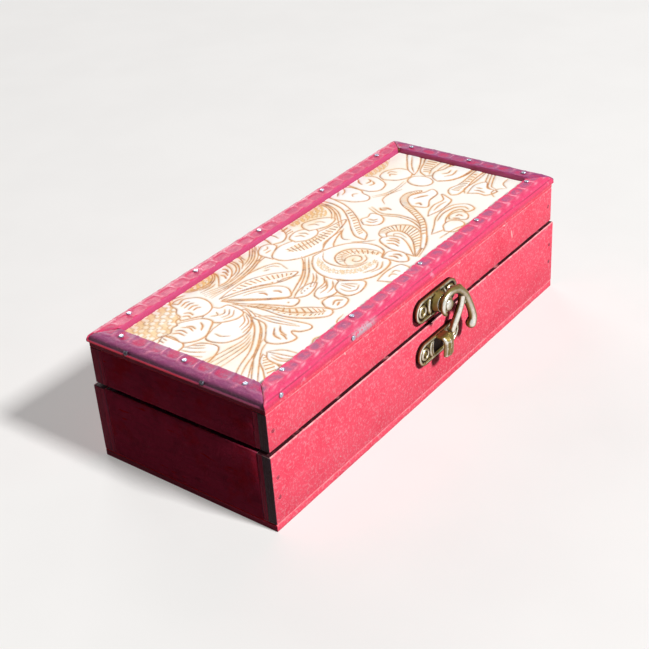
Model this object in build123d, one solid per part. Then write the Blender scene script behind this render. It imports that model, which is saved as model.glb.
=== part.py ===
from build123d import *
from math import tan, radians
import os

# A long wooden pen box with a hinged lid, a sunken tooled panel in a raised
# leather frame and a swing-hook latch. Millimetres, +X along the length, the
# latch faces -Y, +Z up, the origin is the centre of the underside.

# Box body
box_length = 200.0
box_width = 84.0
base_height = 32.5
wall_board = 6.0
bottom_board = 3.0
seam_gap = 1.0

# Lid
lid_setback = 0.8
lid_wall_height = 15.6
top_board = 2.8

# Sunken panel and the raised frame round it
panel_thickness = 0.8
panel_clearance = 0.15
slat_thickness = 2.4
slat_width_front = 8.0
slat_width_back = 7.2
slat_width_left = 8.2
slat_width_right = 6.6
leather = 0.7
leather_drop = 0.5
leather_round = 1.3
leather_lip_round = 0.6

# Lining of velvet flock on paper
lining = 0.6
lining_margin = 1.0

# Brads in the corners, each up its board by a share of the board's height
brad_head_radius = 0.9
brad_head = 0.5
brad_proud = 0.15
brad_shank_radius = 0.5
brad_length = 14.0
base_brad_shares = (0.37, 0.66)
lid_brad_shares = (0.5,)

# Tacks in the leather. They were put in by eye, so their places are uneven shares:
# of a side's half length from its middle, and of a slat's width from its outer edge
tack_head_radius = 0.95
tack_head = 0.4
tack_shank_radius = 0.4
tack_cover = 0.9
tack_across_front = 0.8
tack_across_back = 0.55
tack_across_end = 0.58
front_tacks = (-0.82, -0.41, 0.045, 0.47, 0.89)
back_tacks = (-0.82, -0.445, -0.05, 0.385, 0.805)
end_tacks = (-0.715, -0.05, 0.69)
front_side_tacks = (-0.92, -0.505)
left_side_tacks = (-0.35, 0.52)

# Latch plates
latch_x = 3.0
plate_length = 28.8
plate_width = 9.8
plate_thickness = 2.1
plate_bevel = 0.7
plate_nail_inset = 4.6
upper_plate_rise = 8.1
keeper_drop = 9.8
boss_foot_radius = 4.6
boss_radius = 4.1
boss_height = 2.6
running_gap = 0.15

# Nails of the latch and the hinges
nail_head_radius = 1.15
nail_head = 0.5
nail_shank_radius = 0.55
nail_cover = 1.4
head_round_share = 0.6

# Rivet and hook
rivet_radius = 1.5
rivet_head_radius = 2.1
rivet_head = 1.05
rivet_bore_clearance = 0.05
eye_radius = 3.9
hook_thickness = 2.4
tail_ball_radius = 1.55
tail_lean = 0.8
bend_share = 0.45

# Middle line of the hook, as (x, z) from the rivet
neck_line = ((-1.4, 2.5), (2.2, 4.1), (6.3, 3.5), (10.4, 1.3), (13.2, -2.6), (15.4, -7.0))
tail_line = ((17.3, -11.6), (18.1, -15.4), (17.4, -18.0))
tongue_line = ((10.0, 1.2), (10.9, -2.6), (10.6, -6.0), (9.3, -10.2), (7.9, -13.4))

# Keeper strap and post
strap_width = 6.3
strap_offset = 0.4
strap_thickness = 1.6
strap_corner = 1.2
post_thickness = 1.6
post_height = 9.2
tongue_clearance = 0.4
tongue_side_gap = 1.05
tongue_drop = 1.4

# Hinges
hinge_inset = 42.0
leaf_length = 20.0
leaf_height = 9.5
leaf_thickness = 0.8
knuckle_radius = 1.5
knuckle_gap = 0.2
hinge_pin_radius = 0.7
hinge_pin_clearance = 0.05
hinge_pin_head = 0.5
hinge_pin_margin = 0.3
leaf_nail_inset = 4.0
leaf_nail_edge = 3.55
leaf_relief = 0.3

# How far a boring tool runs past what it bores
overcut = 1.0

# Planes and edges that follow from the sizes above
base_x = box_length / 2
base_y = box_width / 2
lid_x = base_x - lid_setback
lid_y = base_y - lid_setback
lid_bottom = base_height + seam_gap
lid_wall_top = lid_bottom + lid_wall_height
top_board_top = lid_wall_top + top_board
slat_top = top_board_top + slat_thickness
skin_x = lid_x + leather
skin_y = lid_y + leather
skin_top = slat_top + leather
tack_length = leather + slat_thickness + top_board - tack_cover
nail_length = wall_board - nail_cover
upper_plate_height = lid_bottom + upper_plate_rise
keeper_height = base_height - keeper_drop
upper_plate_front = -lid_y - plate_thickness
boss_front = upper_plate_front - boss_height
hook_back = boss_front - running_gap
hook_middle = hook_back - hook_thickness / 2
hook_front = hook_back - hook_thickness
keeper_front = -base_y - plate_thickness
keeper_top = keeper_height + plate_width / 2
strap_left = latch_x + strap_offset - strap_width / 2
strap_right = strap_left + strap_width
tongue_x = strap_right + tongue_side_gap + hook_thickness / 2
tongue_y = keeper_front - tongue_clearance - hook_thickness / 2
tongue_z = keeper_top - strap_thickness - tongue_drop
axis_y = base_y + knuckle_radius
axis_z = base_height + seam_gap / 2


def block(x0, x1, y0, y1, z0, z1):
    """A box between two corners."""
    middle = Pos((x0 + x1) / 2, (y0 + y1) / 2, (z0 + z1) / 2)
    return middle * Box(x1 - x0, y1 - y0, z1 - z0)


def rod(radius, start, end):
    """A round bar between two points."""
    line = Vector(*end) - Vector(*start)
    plane = Plane(origin=start, z_dir=line)
    return extrude(plane * Circle(radius), line.length)


def fastener(place, inward, head_radius, head, shank_radius, length, sunk=0.0):
    """A headed nail: its head stands on the surface at place, its shank runs inward."""
    way = Vector(*inward)
    foot = Vector(*place) + way * sunk
    crown = extrude(Plane(origin=foot, z_dir=-way) * Circle(head_radius), head)
    rim = crown.faces().sort_by(Axis(foot, -way))[-1].edges()
    crown = fillet(rim, head_round_share * min(head, head_radius))
    shank = extrude(Plane(origin=foot, z_dir=way) * Circle(shank_radius), length)
    return crown + shank


def cut_all(piece, tools):
    """Drill a piece with each tool in turn."""
    for tool in tools:
        piece = piece - tool
    return piece


def save(name, *solids):
    """Write one node: a single solid, or a group of separate ones."""
    shape = solids[0] if len(solids) == 1 else Compound(children=list(solids))
    export_step(shape, "parts/" + name + ".step")


def corner_brads(half_x, half_y, z0, z1, shares):
    """Brads through the long boards into the ends of the end boards."""
    heights = [z0 + share * (z1 - z0) for share in shares]
    brads = []
    for side in (-1, 1):
        for end in (-1, 1):
            for height in heights:
                place = (end * (half_x - wall_board / 2), side * half_y, height)
                brads.append(fastener(place, (0, -side, 0), brad_head_radius, brad_head,
                                      brad_shank_radius, brad_length, brad_head - brad_proud))
    return brads


def wall_ring(half_x, half_y, z0, z1, brads):
    """Front, back, left and right boards; the long ones overlap the end ones."""
    inner_x = half_x - wall_board
    inner_y = half_y - wall_board
    front = block(-half_x, half_x, -half_y, -inner_y, z0, z1)
    back = block(-half_x, half_x, inner_y, half_y, z0, z1)
    left = block(-half_x, -inner_x, -inner_y, inner_y, z0, z1)
    right = block(inner_x, half_x, -inner_y, inner_y, z0, z1)
    return [cut_all(board, brads) for board in (front, back, left, right)]


def lining_ring(half_x, half_y, z0, z1):
    """Four thin strips that line the inner faces of a ring of boards."""
    outer_x = half_x - wall_board
    outer_y = half_y - wall_board
    inner_x = outer_x - lining
    inner_y = outer_y - lining
    front = block(-outer_x, outer_x, -outer_y, -inner_y, z0, z1)
    back = block(-outer_x, outer_x, inner_y, outer_y, z0, z1)
    left = block(-outer_x, -inner_x, -inner_y, inner_y, z0, z1)
    right = block(inner_x, outer_x, -inner_y, inner_y, z0, z1)
    return [front, back, left, right]


def make_base(extra_nails):
    """The tray: bottom board, four walls, brads and lining."""
    brads = corner_brads(base_x, base_y, bottom_board, base_height, base_brad_shares)
    names = ("base_front_board", "base_back_board", "base_left_end", "base_right_end")
    drills = brads + extra_nails
    for name, board in zip(names, wall_ring(base_x, base_y, bottom_board, base_height, drills)):
        save(name, board)
    save("base_bottom_board", block(-base_x, base_x, -base_y, base_y, 0, bottom_board))
    save("base_nails", *brads)
    floor_x = base_x - wall_board
    floor_y = base_y - wall_board
    floor_top = bottom_board + lining
    save("base_lining_floor", block(-floor_x, floor_x, -floor_y, floor_y, bottom_board, floor_top))
    save("base_lining_walls", *lining_ring(base_x, base_y, floor_top, base_height - lining_margin))


def inner_opening():
    """Plan of the frame's opening inside the leather, as (x low, x high, y low, y high)."""
    return (-lid_x + slat_width_left + leather, lid_x - slat_width_right - leather,
            -lid_y + slat_width_front + leather, lid_y - slat_width_back - leather)


def mitre_wedge(side):
    """The mitred plan of one side of the frame, from its outer to its inner corners."""
    corners = {
        "front": ((0, 1), (1, 1)), "right": ((1, 1), (1, 0)),
        "back": ((1, 0), (0, 0)), "left": ((0, 0), (0, 1)),
    }
    outer = (-skin_x, skin_x, -skin_y, skin_y)
    picked = []
    for rectangle, order in ((outer, (0, 1)), (inner_opening(), (1, 0))):
        x_low, x_high, y_low, y_high = rectangle
        for which in order:
            right, front = corners[side][which]
            picked.append((x_high if right else x_low, y_low if front else y_high))
    low = top_board_top - leather_drop
    face = make_face(Polyline(*picked, close=True))
    return extrude(Plane(origin=(0, 0, low)) * face, skin_top - low)


def frame_strip(side, outline):
    """A profile across one side of the frame (inward from the leather's face, up), run along it."""
    places = {
        "front": ((-skin_x, -skin_y, 0), (0, 1, 0), (1, 0, 0), 2 * skin_x),
        "back": ((skin_x, skin_y, 0), (0, -1, 0), (-1, 0, 0), 2 * skin_x),
        "left": ((-skin_x, skin_y, 0), (1, 0, 0), (0, -1, 0), 2 * skin_y),
        "right": ((skin_x, -skin_y, 0), (-1, 0, 0), (0, 1, 0), 2 * skin_y),
    }
    origin, across, along, length = places[side]
    plane = Plane(origin=origin, x_dir=across, z_dir=along)
    return extrude(plane * make_face(outline), length)


def slat_profile(slat_width):
    """The oblong section of a slat."""
    near = leather
    far = leather + slat_width
    return Polyline((near, top_board_top), (near, slat_top), (far, slat_top), (far, top_board_top),
                    close=True)


def leather_profile(slat_width):
    """The section of a leather cover: down the lid's side, over the slat and down inside."""
    low = top_board_top - leather_drop
    wide = slat_width + 2 * leather
    rim = leather_round
    lip = leather_lip_round
    return [
        Line((0, low), (0, skin_top - rim)),
        RadiusArc((0, skin_top - rim), (rim, skin_top), rim),
        Line((rim, skin_top), (wide - lip, skin_top)),
        RadiusArc((wide - lip, skin_top), (wide, skin_top - lip), lip),
        Polyline((wide, skin_top - lip), (wide, top_board_top), (wide - leather, top_board_top),
                 (wide - leather, slat_top), (leather, slat_top), (leather, low), (0, low)),
    ]


def make_tacks():
    """Tacks on the top of the leather and a few in its side."""
    down = (0, 0, -1)
    front_y = -lid_y + tack_across_front * slat_width_front
    back_y = lid_y - tack_across_back * slat_width_back
    left_x = -lid_x + tack_across_end * slat_width_left
    right_x = lid_x - tack_across_end * slat_width_right
    places = [((share * lid_x, front_y, skin_top), down) for share in front_tacks]
    places += [((share * lid_x, back_y, skin_top), down) for share in back_tacks]
    places += [((x, share * lid_y, skin_top), down) for x in (left_x, right_x) for share in end_tacks]
    side_height = top_board_top + slat_thickness / 2
    places += [((share * lid_x, -skin_y, side_height), (0, 1, 0)) for share in front_side_tacks]
    places += [((-skin_x, share * lid_y, side_height), (1, 0, 0)) for share in left_side_tacks]
    return [fastener(place, way, tack_head_radius, tack_head, tack_shank_radius, tack_length)
            for place, way in places]


def make_lid(extra_nails):
    """The lid: walls, top board, panel, slats, leather, tacks, brads and lining."""
    brads = corner_brads(lid_x, lid_y, lid_bottom, lid_wall_top, lid_brad_shares)
    names = ("lid_front_board", "lid_back_board", "lid_left_end", "lid_right_end")
    drills = brads + extra_nails
    for name, board in zip(names, wall_ring(lid_x, lid_y, lid_bottom, lid_wall_top, drills)):
        save(name, board)
    save("lid_nails", *brads)

    tacks = make_tacks()
    top = block(-lid_x, lid_x, -lid_y, lid_y, lid_wall_top, top_board_top)
    save("lid_top_board", cut_all(top, tacks))
    save("trim_tacks", *tacks)

    sides = {"front": slat_width_front, "back": slat_width_back,
             "left": slat_width_left, "right": slat_width_right}
    for side, slat_width in sides.items():
        wedge = mitre_wedge(side)
        slat = frame_strip(side, slat_profile(slat_width)) & wedge
        cover = frame_strip(side, leather_profile(slat_width)) & wedge
        save("rim_slat_" + side, cut_all(slat, tacks))
        save("trim_" + side, cut_all(cover, tacks))

    x_low, x_high, y_low, y_high = inner_opening()
    gap = panel_clearance
    save("tooled_panel", block(x_low + gap, x_high - gap, y_low + gap, y_high - gap,
                               top_board_top, top_board_top + panel_thickness))

    roof_x = lid_x - wall_board
    roof_y = lid_y - wall_board
    roof = lid_wall_top - lining
    save("lid_lining_top", block(-roof_x, roof_x, -roof_y, roof_y, roof, lid_wall_top))
    save("lid_lining_walls", *lining_ring(lid_x, lid_y, lid_bottom + lining_margin, roof))


def latch_outline(height, back, front):
    """An oblong plate with round ends and a bevelled face, standing on the plane back."""
    plane = Plane(origin=(latch_x, back, height), x_dir=(1, 0, 0), z_dir=(0, -1, 0))
    plate = extrude(plane * SlotOverall(plate_length, plate_width), back - front)
    rim = plate.faces().sort_by(Axis.Y)[0].edges()
    return chamfer(rim, plate_bevel)


def plate_nails(height, front):
    """Two nails, one in each round end of a latch plate."""
    reach = plate_length / 2 - plate_nail_inset
    return [fastener((latch_x + side * reach, front, height), (0, 1, 0), nail_head_radius,
                     nail_head, nail_shank_radius, nail_length + plate_thickness)
            for side in (-1, 1)]


def smooth_rod(radius, points):
    """A round bar along straight runs joined by arcs, each as large as its runs allow."""
    corners = [Vector(*point) for point in points]
    radii = []
    for before, here, after in zip(corners, corners[1:], corners[2:]):
        first = here - before
        second = after - here
        turn = first.get_angle(second)
        radii.append(bend_share * min(first.length, second.length) / tan(radians(turn / 2)))
    path = FilletPolyline(*corners, radius=radii)
    start = Plane(origin=corners[0], z_dir=corners[1] - corners[0])
    return sweep(start * Circle(radius), path=path)


def make_hook():
    """The hook: an eye on the rivet, a swan neck, a tail with a ball and a sunk tongue."""
    radius = hook_thickness / 2
    x = latch_x
    z = upper_plate_height
    y = hook_middle
    tail_y = y - tail_lean
    eye = rod(eye_radius, (x, hook_back, z), (x, hook_front, z))
    neck_points = [(x + u, y, z + v) for u, v in neck_line]
    neck_points += [(x + u, tail_y, z + v) for u, v in tail_line]
    neck = smooth_rod(radius, neck_points)
    tail_end = Pos(*neck_points[-1]) * Sphere(tail_ball_radius)
    bends = [y, y, y, (y + tongue_y) / 2, tongue_y]
    tongue_points = [(x + u, bend, z + v) for (u, v), bend in zip(tongue_line, bends)]
    tongue_points.append((tongue_x, tongue_y, tongue_z))
    tongue = smooth_rod(radius, tongue_points)
    tongue_end = Pos(*tongue_points[-1]) * Sphere(radius)
    hook = eye + neck + tail_end + tongue + tongue_end
    bore = rivet_radius + rivet_bore_clearance
    return hook - rod(bore, (x, hook_back + overcut, z), (x, hook_front - overcut, z))


def make_keeper():
    """The keeper: a plate whose strap comes out over the tongue and turns down as a post."""
    plate = latch_outline(keeper_height, -base_y, keeper_front)
    post_back = tongue_y - hook_thickness / 2 - tongue_clearance
    post_front = post_back - post_thickness
    foot = keeper_front + plate_bevel
    strap = block(strap_left, strap_right, post_front, foot, keeper_top - strap_thickness, keeper_top)
    post = block(strap_left, strap_right, post_front, post_back, keeper_top - post_height, keeper_top)
    cleat = strap + post
    outer = cleat.edges().filter_by(Axis.X).group_by(Axis.Y)[0]
    cleat = fillet(outer.sort_by(Axis.Z)[-1], strap_corner)
    return plate + cleat


def make_latch():
    """Upper plate with its boss, rivet, hook and keeper; returns the nails that need holes."""
    x = latch_x
    z = upper_plate_height
    out = (0, -1, 0)
    foot = Plane(origin=(x, upper_plate_front, z), x_dir=(1, 0, 0), z_dir=out)
    crown = Plane(origin=(x, boss_front, z), x_dir=(1, 0, 0), z_dir=out)
    boss = loft([foot * Circle(boss_foot_radius), crown * Circle(boss_radius)])
    plate = latch_outline(z, -lid_y, upper_plate_front) + boss
    head_back = hook_front - running_gap
    rivet = fastener((x, head_back, z), (0, 1, 0), rivet_head_radius, rivet_head,
                     rivet_radius, -lid_y - head_back)
    nails = plate_nails(z, upper_plate_front)
    keeper_nails = plate_nails(keeper_height, keeper_front)
    save("latch_plate", cut_all(plate, nails + [rivet]))
    save("latch_plate_nails", *nails)
    save("latch_rivet", rivet)
    save("latch_hook", make_hook())
    save("latch_keeper", cut_all(make_keeper(), keeper_nails))
    save("keeper_nails", *keeper_nails)
    return nails, keeper_nails


def knuckle_spans(x):
    """Three knuckles of one hinge as (low, high) along X: the outer two are the base's."""
    knuckle = (leaf_length - 2 * knuckle_gap) / 3
    low = x - leaf_length / 2
    spans = []
    for index in range(3):
        start = low + index * (knuckle + knuckle_gap)
        spans.append((start, start + knuckle))
    return spans


def make_hinge(name, x):
    """One butt hinge: a leaf on each half, rolled knuckles and a pin; returns its nails."""
    spans = knuckle_spans(x)
    x0 = x - leaf_length / 2
    x1 = x + leaf_length / 2

    def on_axis(radius, low, high):
        return rod(radius, (low, axis_y, axis_z), (high, axis_y, axis_z))

    tube = {span: on_axis(knuckle_radius, *span) for span in spans}
    relief = {span: on_axis(knuckle_radius + leaf_relief, span[0] - knuckle_gap, span[1] + knuckle_gap)
              for span in spans}
    bore = on_axis(hinge_pin_radius + hinge_pin_clearance, x0 - overcut, x1 + overcut)
    pin = on_axis(hinge_pin_radius, x0, x1)
    head_radius = knuckle_radius - hinge_pin_margin
    pin = pin + on_axis(head_radius, x0 - hinge_pin_head, x0) + on_axis(head_radius, x1, x1 + hinge_pin_head)

    outer, middle = (spans[0], spans[2]), spans[1]
    base_leaf = block(x0, x1, base_y, base_y + leaf_thickness, axis_z - leaf_height, axis_z)
    base_leaf = base_leaf - relief[middle]
    for span in outer:
        base_leaf = base_leaf + tube[span]
    base_leaf = base_leaf - pin

    lid_leaf = block(x0, x1, lid_y, lid_y + leaf_thickness, axis_z, axis_z + leaf_height)
    for span in outer:
        lid_leaf = lid_leaf - relief[span]
    lid_leaf = lid_leaf + block(middle[0], middle[1], lid_y, axis_y, axis_z, axis_z + leaf_thickness)
    lid_leaf = (lid_leaf + tube[middle]) - bore

    nails = []
    for face, way in ((base_y, -1), (lid_y, 1)):
        for side in (-1, 1):
            place = (x + side * (leaf_length / 2 - leaf_nail_inset), face + leaf_thickness,
                     axis_z + way * (leaf_height - leaf_nail_edge))
            nails.append(fastener(place, (0, -1, 0), nail_head_radius, nail_head,
                                  nail_shank_radius, nail_length + leaf_thickness))
    base_nails, lid_nails = nails[:2], nails[2:]
    save("hinge_leaf_base_" + name, cut_all(base_leaf, base_nails))
    save("hinge_leaf_lid_" + name, cut_all(lid_leaf, lid_nails))
    save("hinge_pin_" + name, pin)
    return base_nails, lid_nails


def make_hinges():
    """Both hinges; returns the nails of the base leaves and of the lid leaves."""
    reach = base_x - hinge_inset
    left_base, left_lid = make_hinge("left", -reach)
    right_base, right_lid = make_hinge("right", reach)
    save("hinge_nails_base", *left_base, *right_base)
    save("hinge_nails_lid", *left_lid, *right_lid)
    return left_base + right_base, left_lid + right_lid


if __name__ == "__main__":
    os.makedirs("parts", exist_ok=True)
    plate_nails_used, keeper_nails_used = make_latch()
    hinge_base_nails, hinge_lid_nails = make_hinges()
    make_base(keeper_nails_used + hinge_base_nails)
    make_lid(plate_nails_used + hinge_lid_nails)
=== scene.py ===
from contextlib import contextmanager
from math import cos, hypot, pi, radians, sin

import bmesh
import bpy
import numpy as np
from bpy.props import FloatProperty, FloatVectorProperty, PointerProperty
from mathutils import Matrix, Vector, noise


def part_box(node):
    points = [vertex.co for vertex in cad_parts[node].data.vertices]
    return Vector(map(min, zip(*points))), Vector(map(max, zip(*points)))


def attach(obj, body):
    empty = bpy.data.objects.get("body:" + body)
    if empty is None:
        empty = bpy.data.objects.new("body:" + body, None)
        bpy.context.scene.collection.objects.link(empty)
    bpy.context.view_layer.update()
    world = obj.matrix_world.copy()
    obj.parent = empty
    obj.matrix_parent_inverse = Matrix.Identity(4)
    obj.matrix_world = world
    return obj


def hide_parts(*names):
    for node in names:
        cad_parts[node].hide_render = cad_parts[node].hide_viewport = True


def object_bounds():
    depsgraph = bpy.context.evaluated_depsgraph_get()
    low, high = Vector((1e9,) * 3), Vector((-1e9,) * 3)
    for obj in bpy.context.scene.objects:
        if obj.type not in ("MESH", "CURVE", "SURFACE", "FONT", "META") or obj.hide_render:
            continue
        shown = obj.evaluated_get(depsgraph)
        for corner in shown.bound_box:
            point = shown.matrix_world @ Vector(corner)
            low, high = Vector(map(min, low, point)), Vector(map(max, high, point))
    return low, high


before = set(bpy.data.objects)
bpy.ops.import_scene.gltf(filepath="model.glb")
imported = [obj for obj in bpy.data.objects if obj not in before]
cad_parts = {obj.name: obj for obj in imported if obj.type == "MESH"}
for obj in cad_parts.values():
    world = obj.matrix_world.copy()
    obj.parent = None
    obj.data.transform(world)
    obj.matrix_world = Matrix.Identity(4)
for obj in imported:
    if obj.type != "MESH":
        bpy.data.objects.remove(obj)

# Looks of a wooden pen box: stained boards, crocodile-embossed leather round a sunken
# tooled panel, and a cast brass swing-hook latch. Metres, +X along the length, the
# latch faces -Y, +Z up. Sizes come from the frame; MM turns millimetres into metres.
bl_info = {
    "name": "Pen Box Looks",
    "version": (1, 0, 0),
    "blender": (4, 5, 0),
    "location": "3D Viewport > Sidebar > Pen Box",
    "description": "Models the leather, boards, latch and lining of a pen box round its frame",
    "category": "Object",
}

MM = 0.001
BLACK = (0.0, 0.0, 0.0, 1.0)
CAD_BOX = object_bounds()
# Points of a CAD node that lie this close together are one point
MERGE_REACH = 0.002 * MM
# How rough the finer layers of every blotch are
BLOTCH_ROUGHNESS = 0.62


def linear(hex_colour):
    """A linear RGBA colour from an sRGB hex value."""
    parts = [int(hex_colour[i:i + 2], 16) / 255 for i in (1, 3, 5)]
    return tuple(c / 12.92 if c <= 0.04045 else ((c + 0.055) / 1.055) ** 2.4 for c in parts) + (1.0,)


def colour_prop(name, hex_colour, description):
    """A colour setting that starts from an sRGB hex value."""
    return FloatVectorProperty(name=name, description=description, subtype="COLOR", size=4,
                               min=0.0, max=1.0, default=linear(hex_colour))


def length_prop(name, millimetres, description):
    """A length setting that starts from a real size in millimetres."""
    return FloatProperty(name=name, description=description, unit="LENGTH", min=0.0,
                         precision=5, default=millimetres * MM)


class PenBoxStageSettings(bpy.types.PropertyGroup):
    """Floor, light and camera."""
    floor_colour: colour_prop("Floor", "#F3F1EF", "Pale floor that the box stands on")
    key_level: FloatProperty(name="Key light", default=1.32, min=0.0,
                             description="Brightness of a white surface that faces the lamp")
    key_size: FloatProperty(name="Key size", default=0.40, min=0.01, unit="LENGTH",
                            description="Width of the square lamp; wider gives softer shadows")
    fill_level: FloatProperty(name="Fill light", default=0.42, min=0.0,
                              description="Brightness that the lamp behind the box gives")
    sky_level: FloatProperty(name="Sky", default=0.02, min=0.0,
                             description="Brightness of the even light from all round")


class PenBoxWoodSettings(bpy.types.PropertyGroup):
    """Stained boards."""
    stain: colour_prop("Stain", "#FF576F", "Red wood stain on the boards")
    stain_deep: colour_prop("Deep stain", "#F2425C", "Stain where it soaked in deeper")
    speckle: colour_prop("Speckle", "#FF93A0", "Pale fibres that took little stain")
    worn: colour_prop("Worn edge", "#F0B4B0", "Pale wood that shows along worn edges")
    # The end stain is deeper than the stain partly as painted shade, made for the shaded left end and used on
    # both ends
    stain_end: colour_prop("End stain", "#F7446A", "Stain on the end boards, which drank more of it")
    end_grain: colour_prop("End grain", "#2A0D13", "Board ends, which soak up the most stain")
    edge_round: length_prop("Edge rounding", 0.35, "Radius that the board edges are eased to")


class PenBoxLeatherSettings(bpy.types.PropertyGroup):
    """Embossed leather on the lid's frame."""
    ridge: colour_prop("Ridge", "#E63A6C", "Crimson leather between the embossed cells")
    cell: colour_prop("Cell", "#A8527C", "Greyed purple in the middle of each cell")
    # The rubbed glaze colours, this and the faded one, also paint highlights: glints at the cells' junctions
    # and sparks beside them
    glint: colour_prop("Rubbed glaze", "#FFB3C6", "Glaze that is rubbed pale on the ridges")
    hem: colour_prop("Hem", "#E43C60", "Thin edge, pared and dyed once more")
    faded_ridge: colour_prop("Faded ridge", "#964072", "Ridges on the left, plum strip")
    faded_cell: colour_prop("Faded cell", "#C21A58", "Cells on the left, plum strip")
    faded_hem: colour_prop("Faded hem", "#7A4462", "Greyed outer half of the left, plum strip")
    faded_glint: colour_prop("Faded glaze", "#F08CA6", "Rubbed glaze on the left, plum strip")
    cell_pitch: length_prop("Cell pitch", 7.8, "Distance from one embossed cell to the next")
    emboss_depth: length_prop("Emboss depth", 0.28, "Height of the ridges between the cells")


class PenBoxPanelSettings(bpy.types.PropertyGroup):
    """Tooled leatherette panel."""
    cream: colour_prop("Leather", "#FFFEFA", "Cream face of the leatherette")
    dye: colour_prop("Dye", "#D4924F", "Tan-brown dye in the cut lines")
    dye_deep: colour_prop("Deep dye", "#A0633A", "Dye where it pooled")
    tint: colour_prop("Tint", "#F8D28C", "Ochre tint of the matted places")
    cut_depth: length_prop("Cut depth", 0.30, "Depth of the tooled lines")
    grid_step: length_prop("Grid step", 0.36, "Distance between the panel's mesh points")


class PenBoxMetalSettings(bpy.types.PropertyGroup):
    """Antique brass and steel tacks."""
    brass: colour_prop("Brass", "#8C7A42", "Antique brass, as it was cast and plated")
    brass_deep: colour_prop("Toned brass", "#614E30", "Brass where the antiquing toned it")
    # Rubbed brass is also a painted highlight, laid on faces that turn the thumb's way
    brass_bright: colour_prop("Rubbed brass", "#FFFDF4", "Brass where hands rub it bright")
    # Patina also paints shade under and behind the castings and on the plates' sides near the board
    patina: colour_prop("Patina", "#2B1A14", "Dark patina left in the hollows")
    steel: colour_prop("Steel", "#BCC4D4", "Bright heads of the tacks")
    cast_step: length_prop("Cast step", 0.17, "Mesh step of the cast latch pieces")


class PenBoxLiningSettings(bpy.types.PropertyGroup):
    """Flocked lining."""
    pile: colour_prop("Pile", "#211A1F", "Short nylon pile")
    pile_tip: colour_prop("Pile tips", "#3A3037", "Where the pile catches the light")
    edge_round: length_prop("Edge rounding", 0.25, "Radius of the lining's soft edges")


SETTINGS = {
    "pen_box_stage": PenBoxStageSettings, "pen_box_wood": PenBoxWoodSettings,
    "pen_box_leather": PenBoxLeatherSettings, "pen_box_panel": PenBoxPanelSettings,
    "pen_box_metal": PenBoxMetalSettings, "pen_box_lining": PenBoxLiningSettings,
}


def add_node(tree, kind, inputs=None, output=0, **settings):
    """Add one shader node of a kind such as Math: settings are its properties, inputs are values
    or sockets to link. Gives the socket of one of its outputs."""
    made = tree.nodes.new("ShaderNode" + kind)
    for key, value in settings.items():
        setattr(made, key, value)
    for key, value in (inputs or {}).items():
        if isinstance(value, bpy.types.NodeSocket):
            tree.links.new(value, made.inputs[key])
        else:
            made.inputs[key].default_value = value
    return made.outputs[output] if made.outputs else None


def deepened(colour, share):
    """A colour with less light in it."""
    return tuple(level * share for level in colour[:3]) + (1.0,)


def start_material(name, *layers):
    """A new node material; returns it, its tree, its object coordinates and the numbers that
    store keeps under some names."""
    material = bpy.data.materials.new(name)
    material.use_nodes = True
    tree = material.node_tree
    tree.nodes.clear()
    return (material, tree, add_node(tree, "TexCoord", output="Object"),
            *(add_node(tree, "Attribute", output="Fac", attribute_name=layer) for layer in layers))


def finish_material(tree, colour, roughness, relief, relief_mm, **sockets):
    """Link the colour and a relief of a real height into a surface. Other sockets are set by
    name, with _ for each space."""
    normal = add_node(tree, "Bump", {"Height": relief, "Distance": relief_mm * MM})
    inputs = {name.replace("_", " "): value for name, value in sockets.items()}
    shader = add_node(tree, "BsdfPrincipled",
                      {"Base Color": colour, "Roughness": roughness, "Normal": normal, **inputs})
    add_node(tree, "OutputMaterial", {"Surface": shader})


def blotches(tree, point, size_mm, start=0.4, full=0.6, detail=4.0, stretch=(1.0, 1.0, 1.0)):
    """How much an uneven pattern of blotches about size_mm wide covers each place, 0 to 1."""
    along = add_node(tree, "Mapping", {"Vector": point, "Scale": stretch})
    grey = add_node(tree, "TexNoise",
                    {"Vector": along, "Scale": 1.0 / (size_mm * MM), "Detail": detail,
                     "Roughness": BLOTCH_ROUGHNESS})
    return add_node(tree, "MapRange", {"Value": grey, "From Min": start, "From Max": full},
                    interpolation_type="SMOOTHSTEP")


def coats(tree, colour, *layers):
    """Lay coats over a colour: each is the share that it covers, its own colour and whatever
    that share is multiplied by."""
    for share, over, *factors in layers:
        for factor in factors:
            share = add_node(tree, "Math", {0: share, 1: factor}, operation="MULTIPLY")
        colour = add_node(tree, "Mix", {0: share, 6: colour, 7: over}, output=2, data_type="RGBA")
    return colour


def paint(piece, material):
    """Give a piece one material."""
    piece.data.materials.clear()
    piece.data.materials.append(material)


def paint_nodes(material, *nodes):
    """Give carried-over CAD nodes their material."""
    for node in nodes:
        paint(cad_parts[node], material)


def only(piece):
    """Select and activate one piece alone."""
    if bpy.context.mode != "OBJECT":
        bpy.ops.object.mode_set(mode="OBJECT")
    bpy.ops.object.select_all(action="DESELECT")
    if piece is not None:
        piece.select_set(True)
        bpy.context.view_layer.objects.active = piece


def name_piece(name):
    """Name the primitive that was just added, and its mesh."""
    piece = bpy.context.object
    piece.name = name
    piece.data.name = name
    return piece


@contextmanager
def editing(piece, mode="VERT", action="DESELECT"):
    """Edit mode on one piece, with nothing or, by SELECT, all selected; gives its edit mesh."""
    only(piece)
    bpy.ops.object.mode_set(mode="EDIT")
    bpy.ops.mesh.select_mode(type=mode)
    bpy.ops.mesh.select_all(action=action)
    yield bmesh.from_edit_mesh(piece.data)
    bpy.ops.object.mode_set(mode="OBJECT")


def settle(piece):
    """Move a piece's place into its mesh, so that its object sits at the origin."""
    only(piece)
    bpy.ops.object.transform_apply(location=True, rotation=True, scale=True)
    return piece


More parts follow.
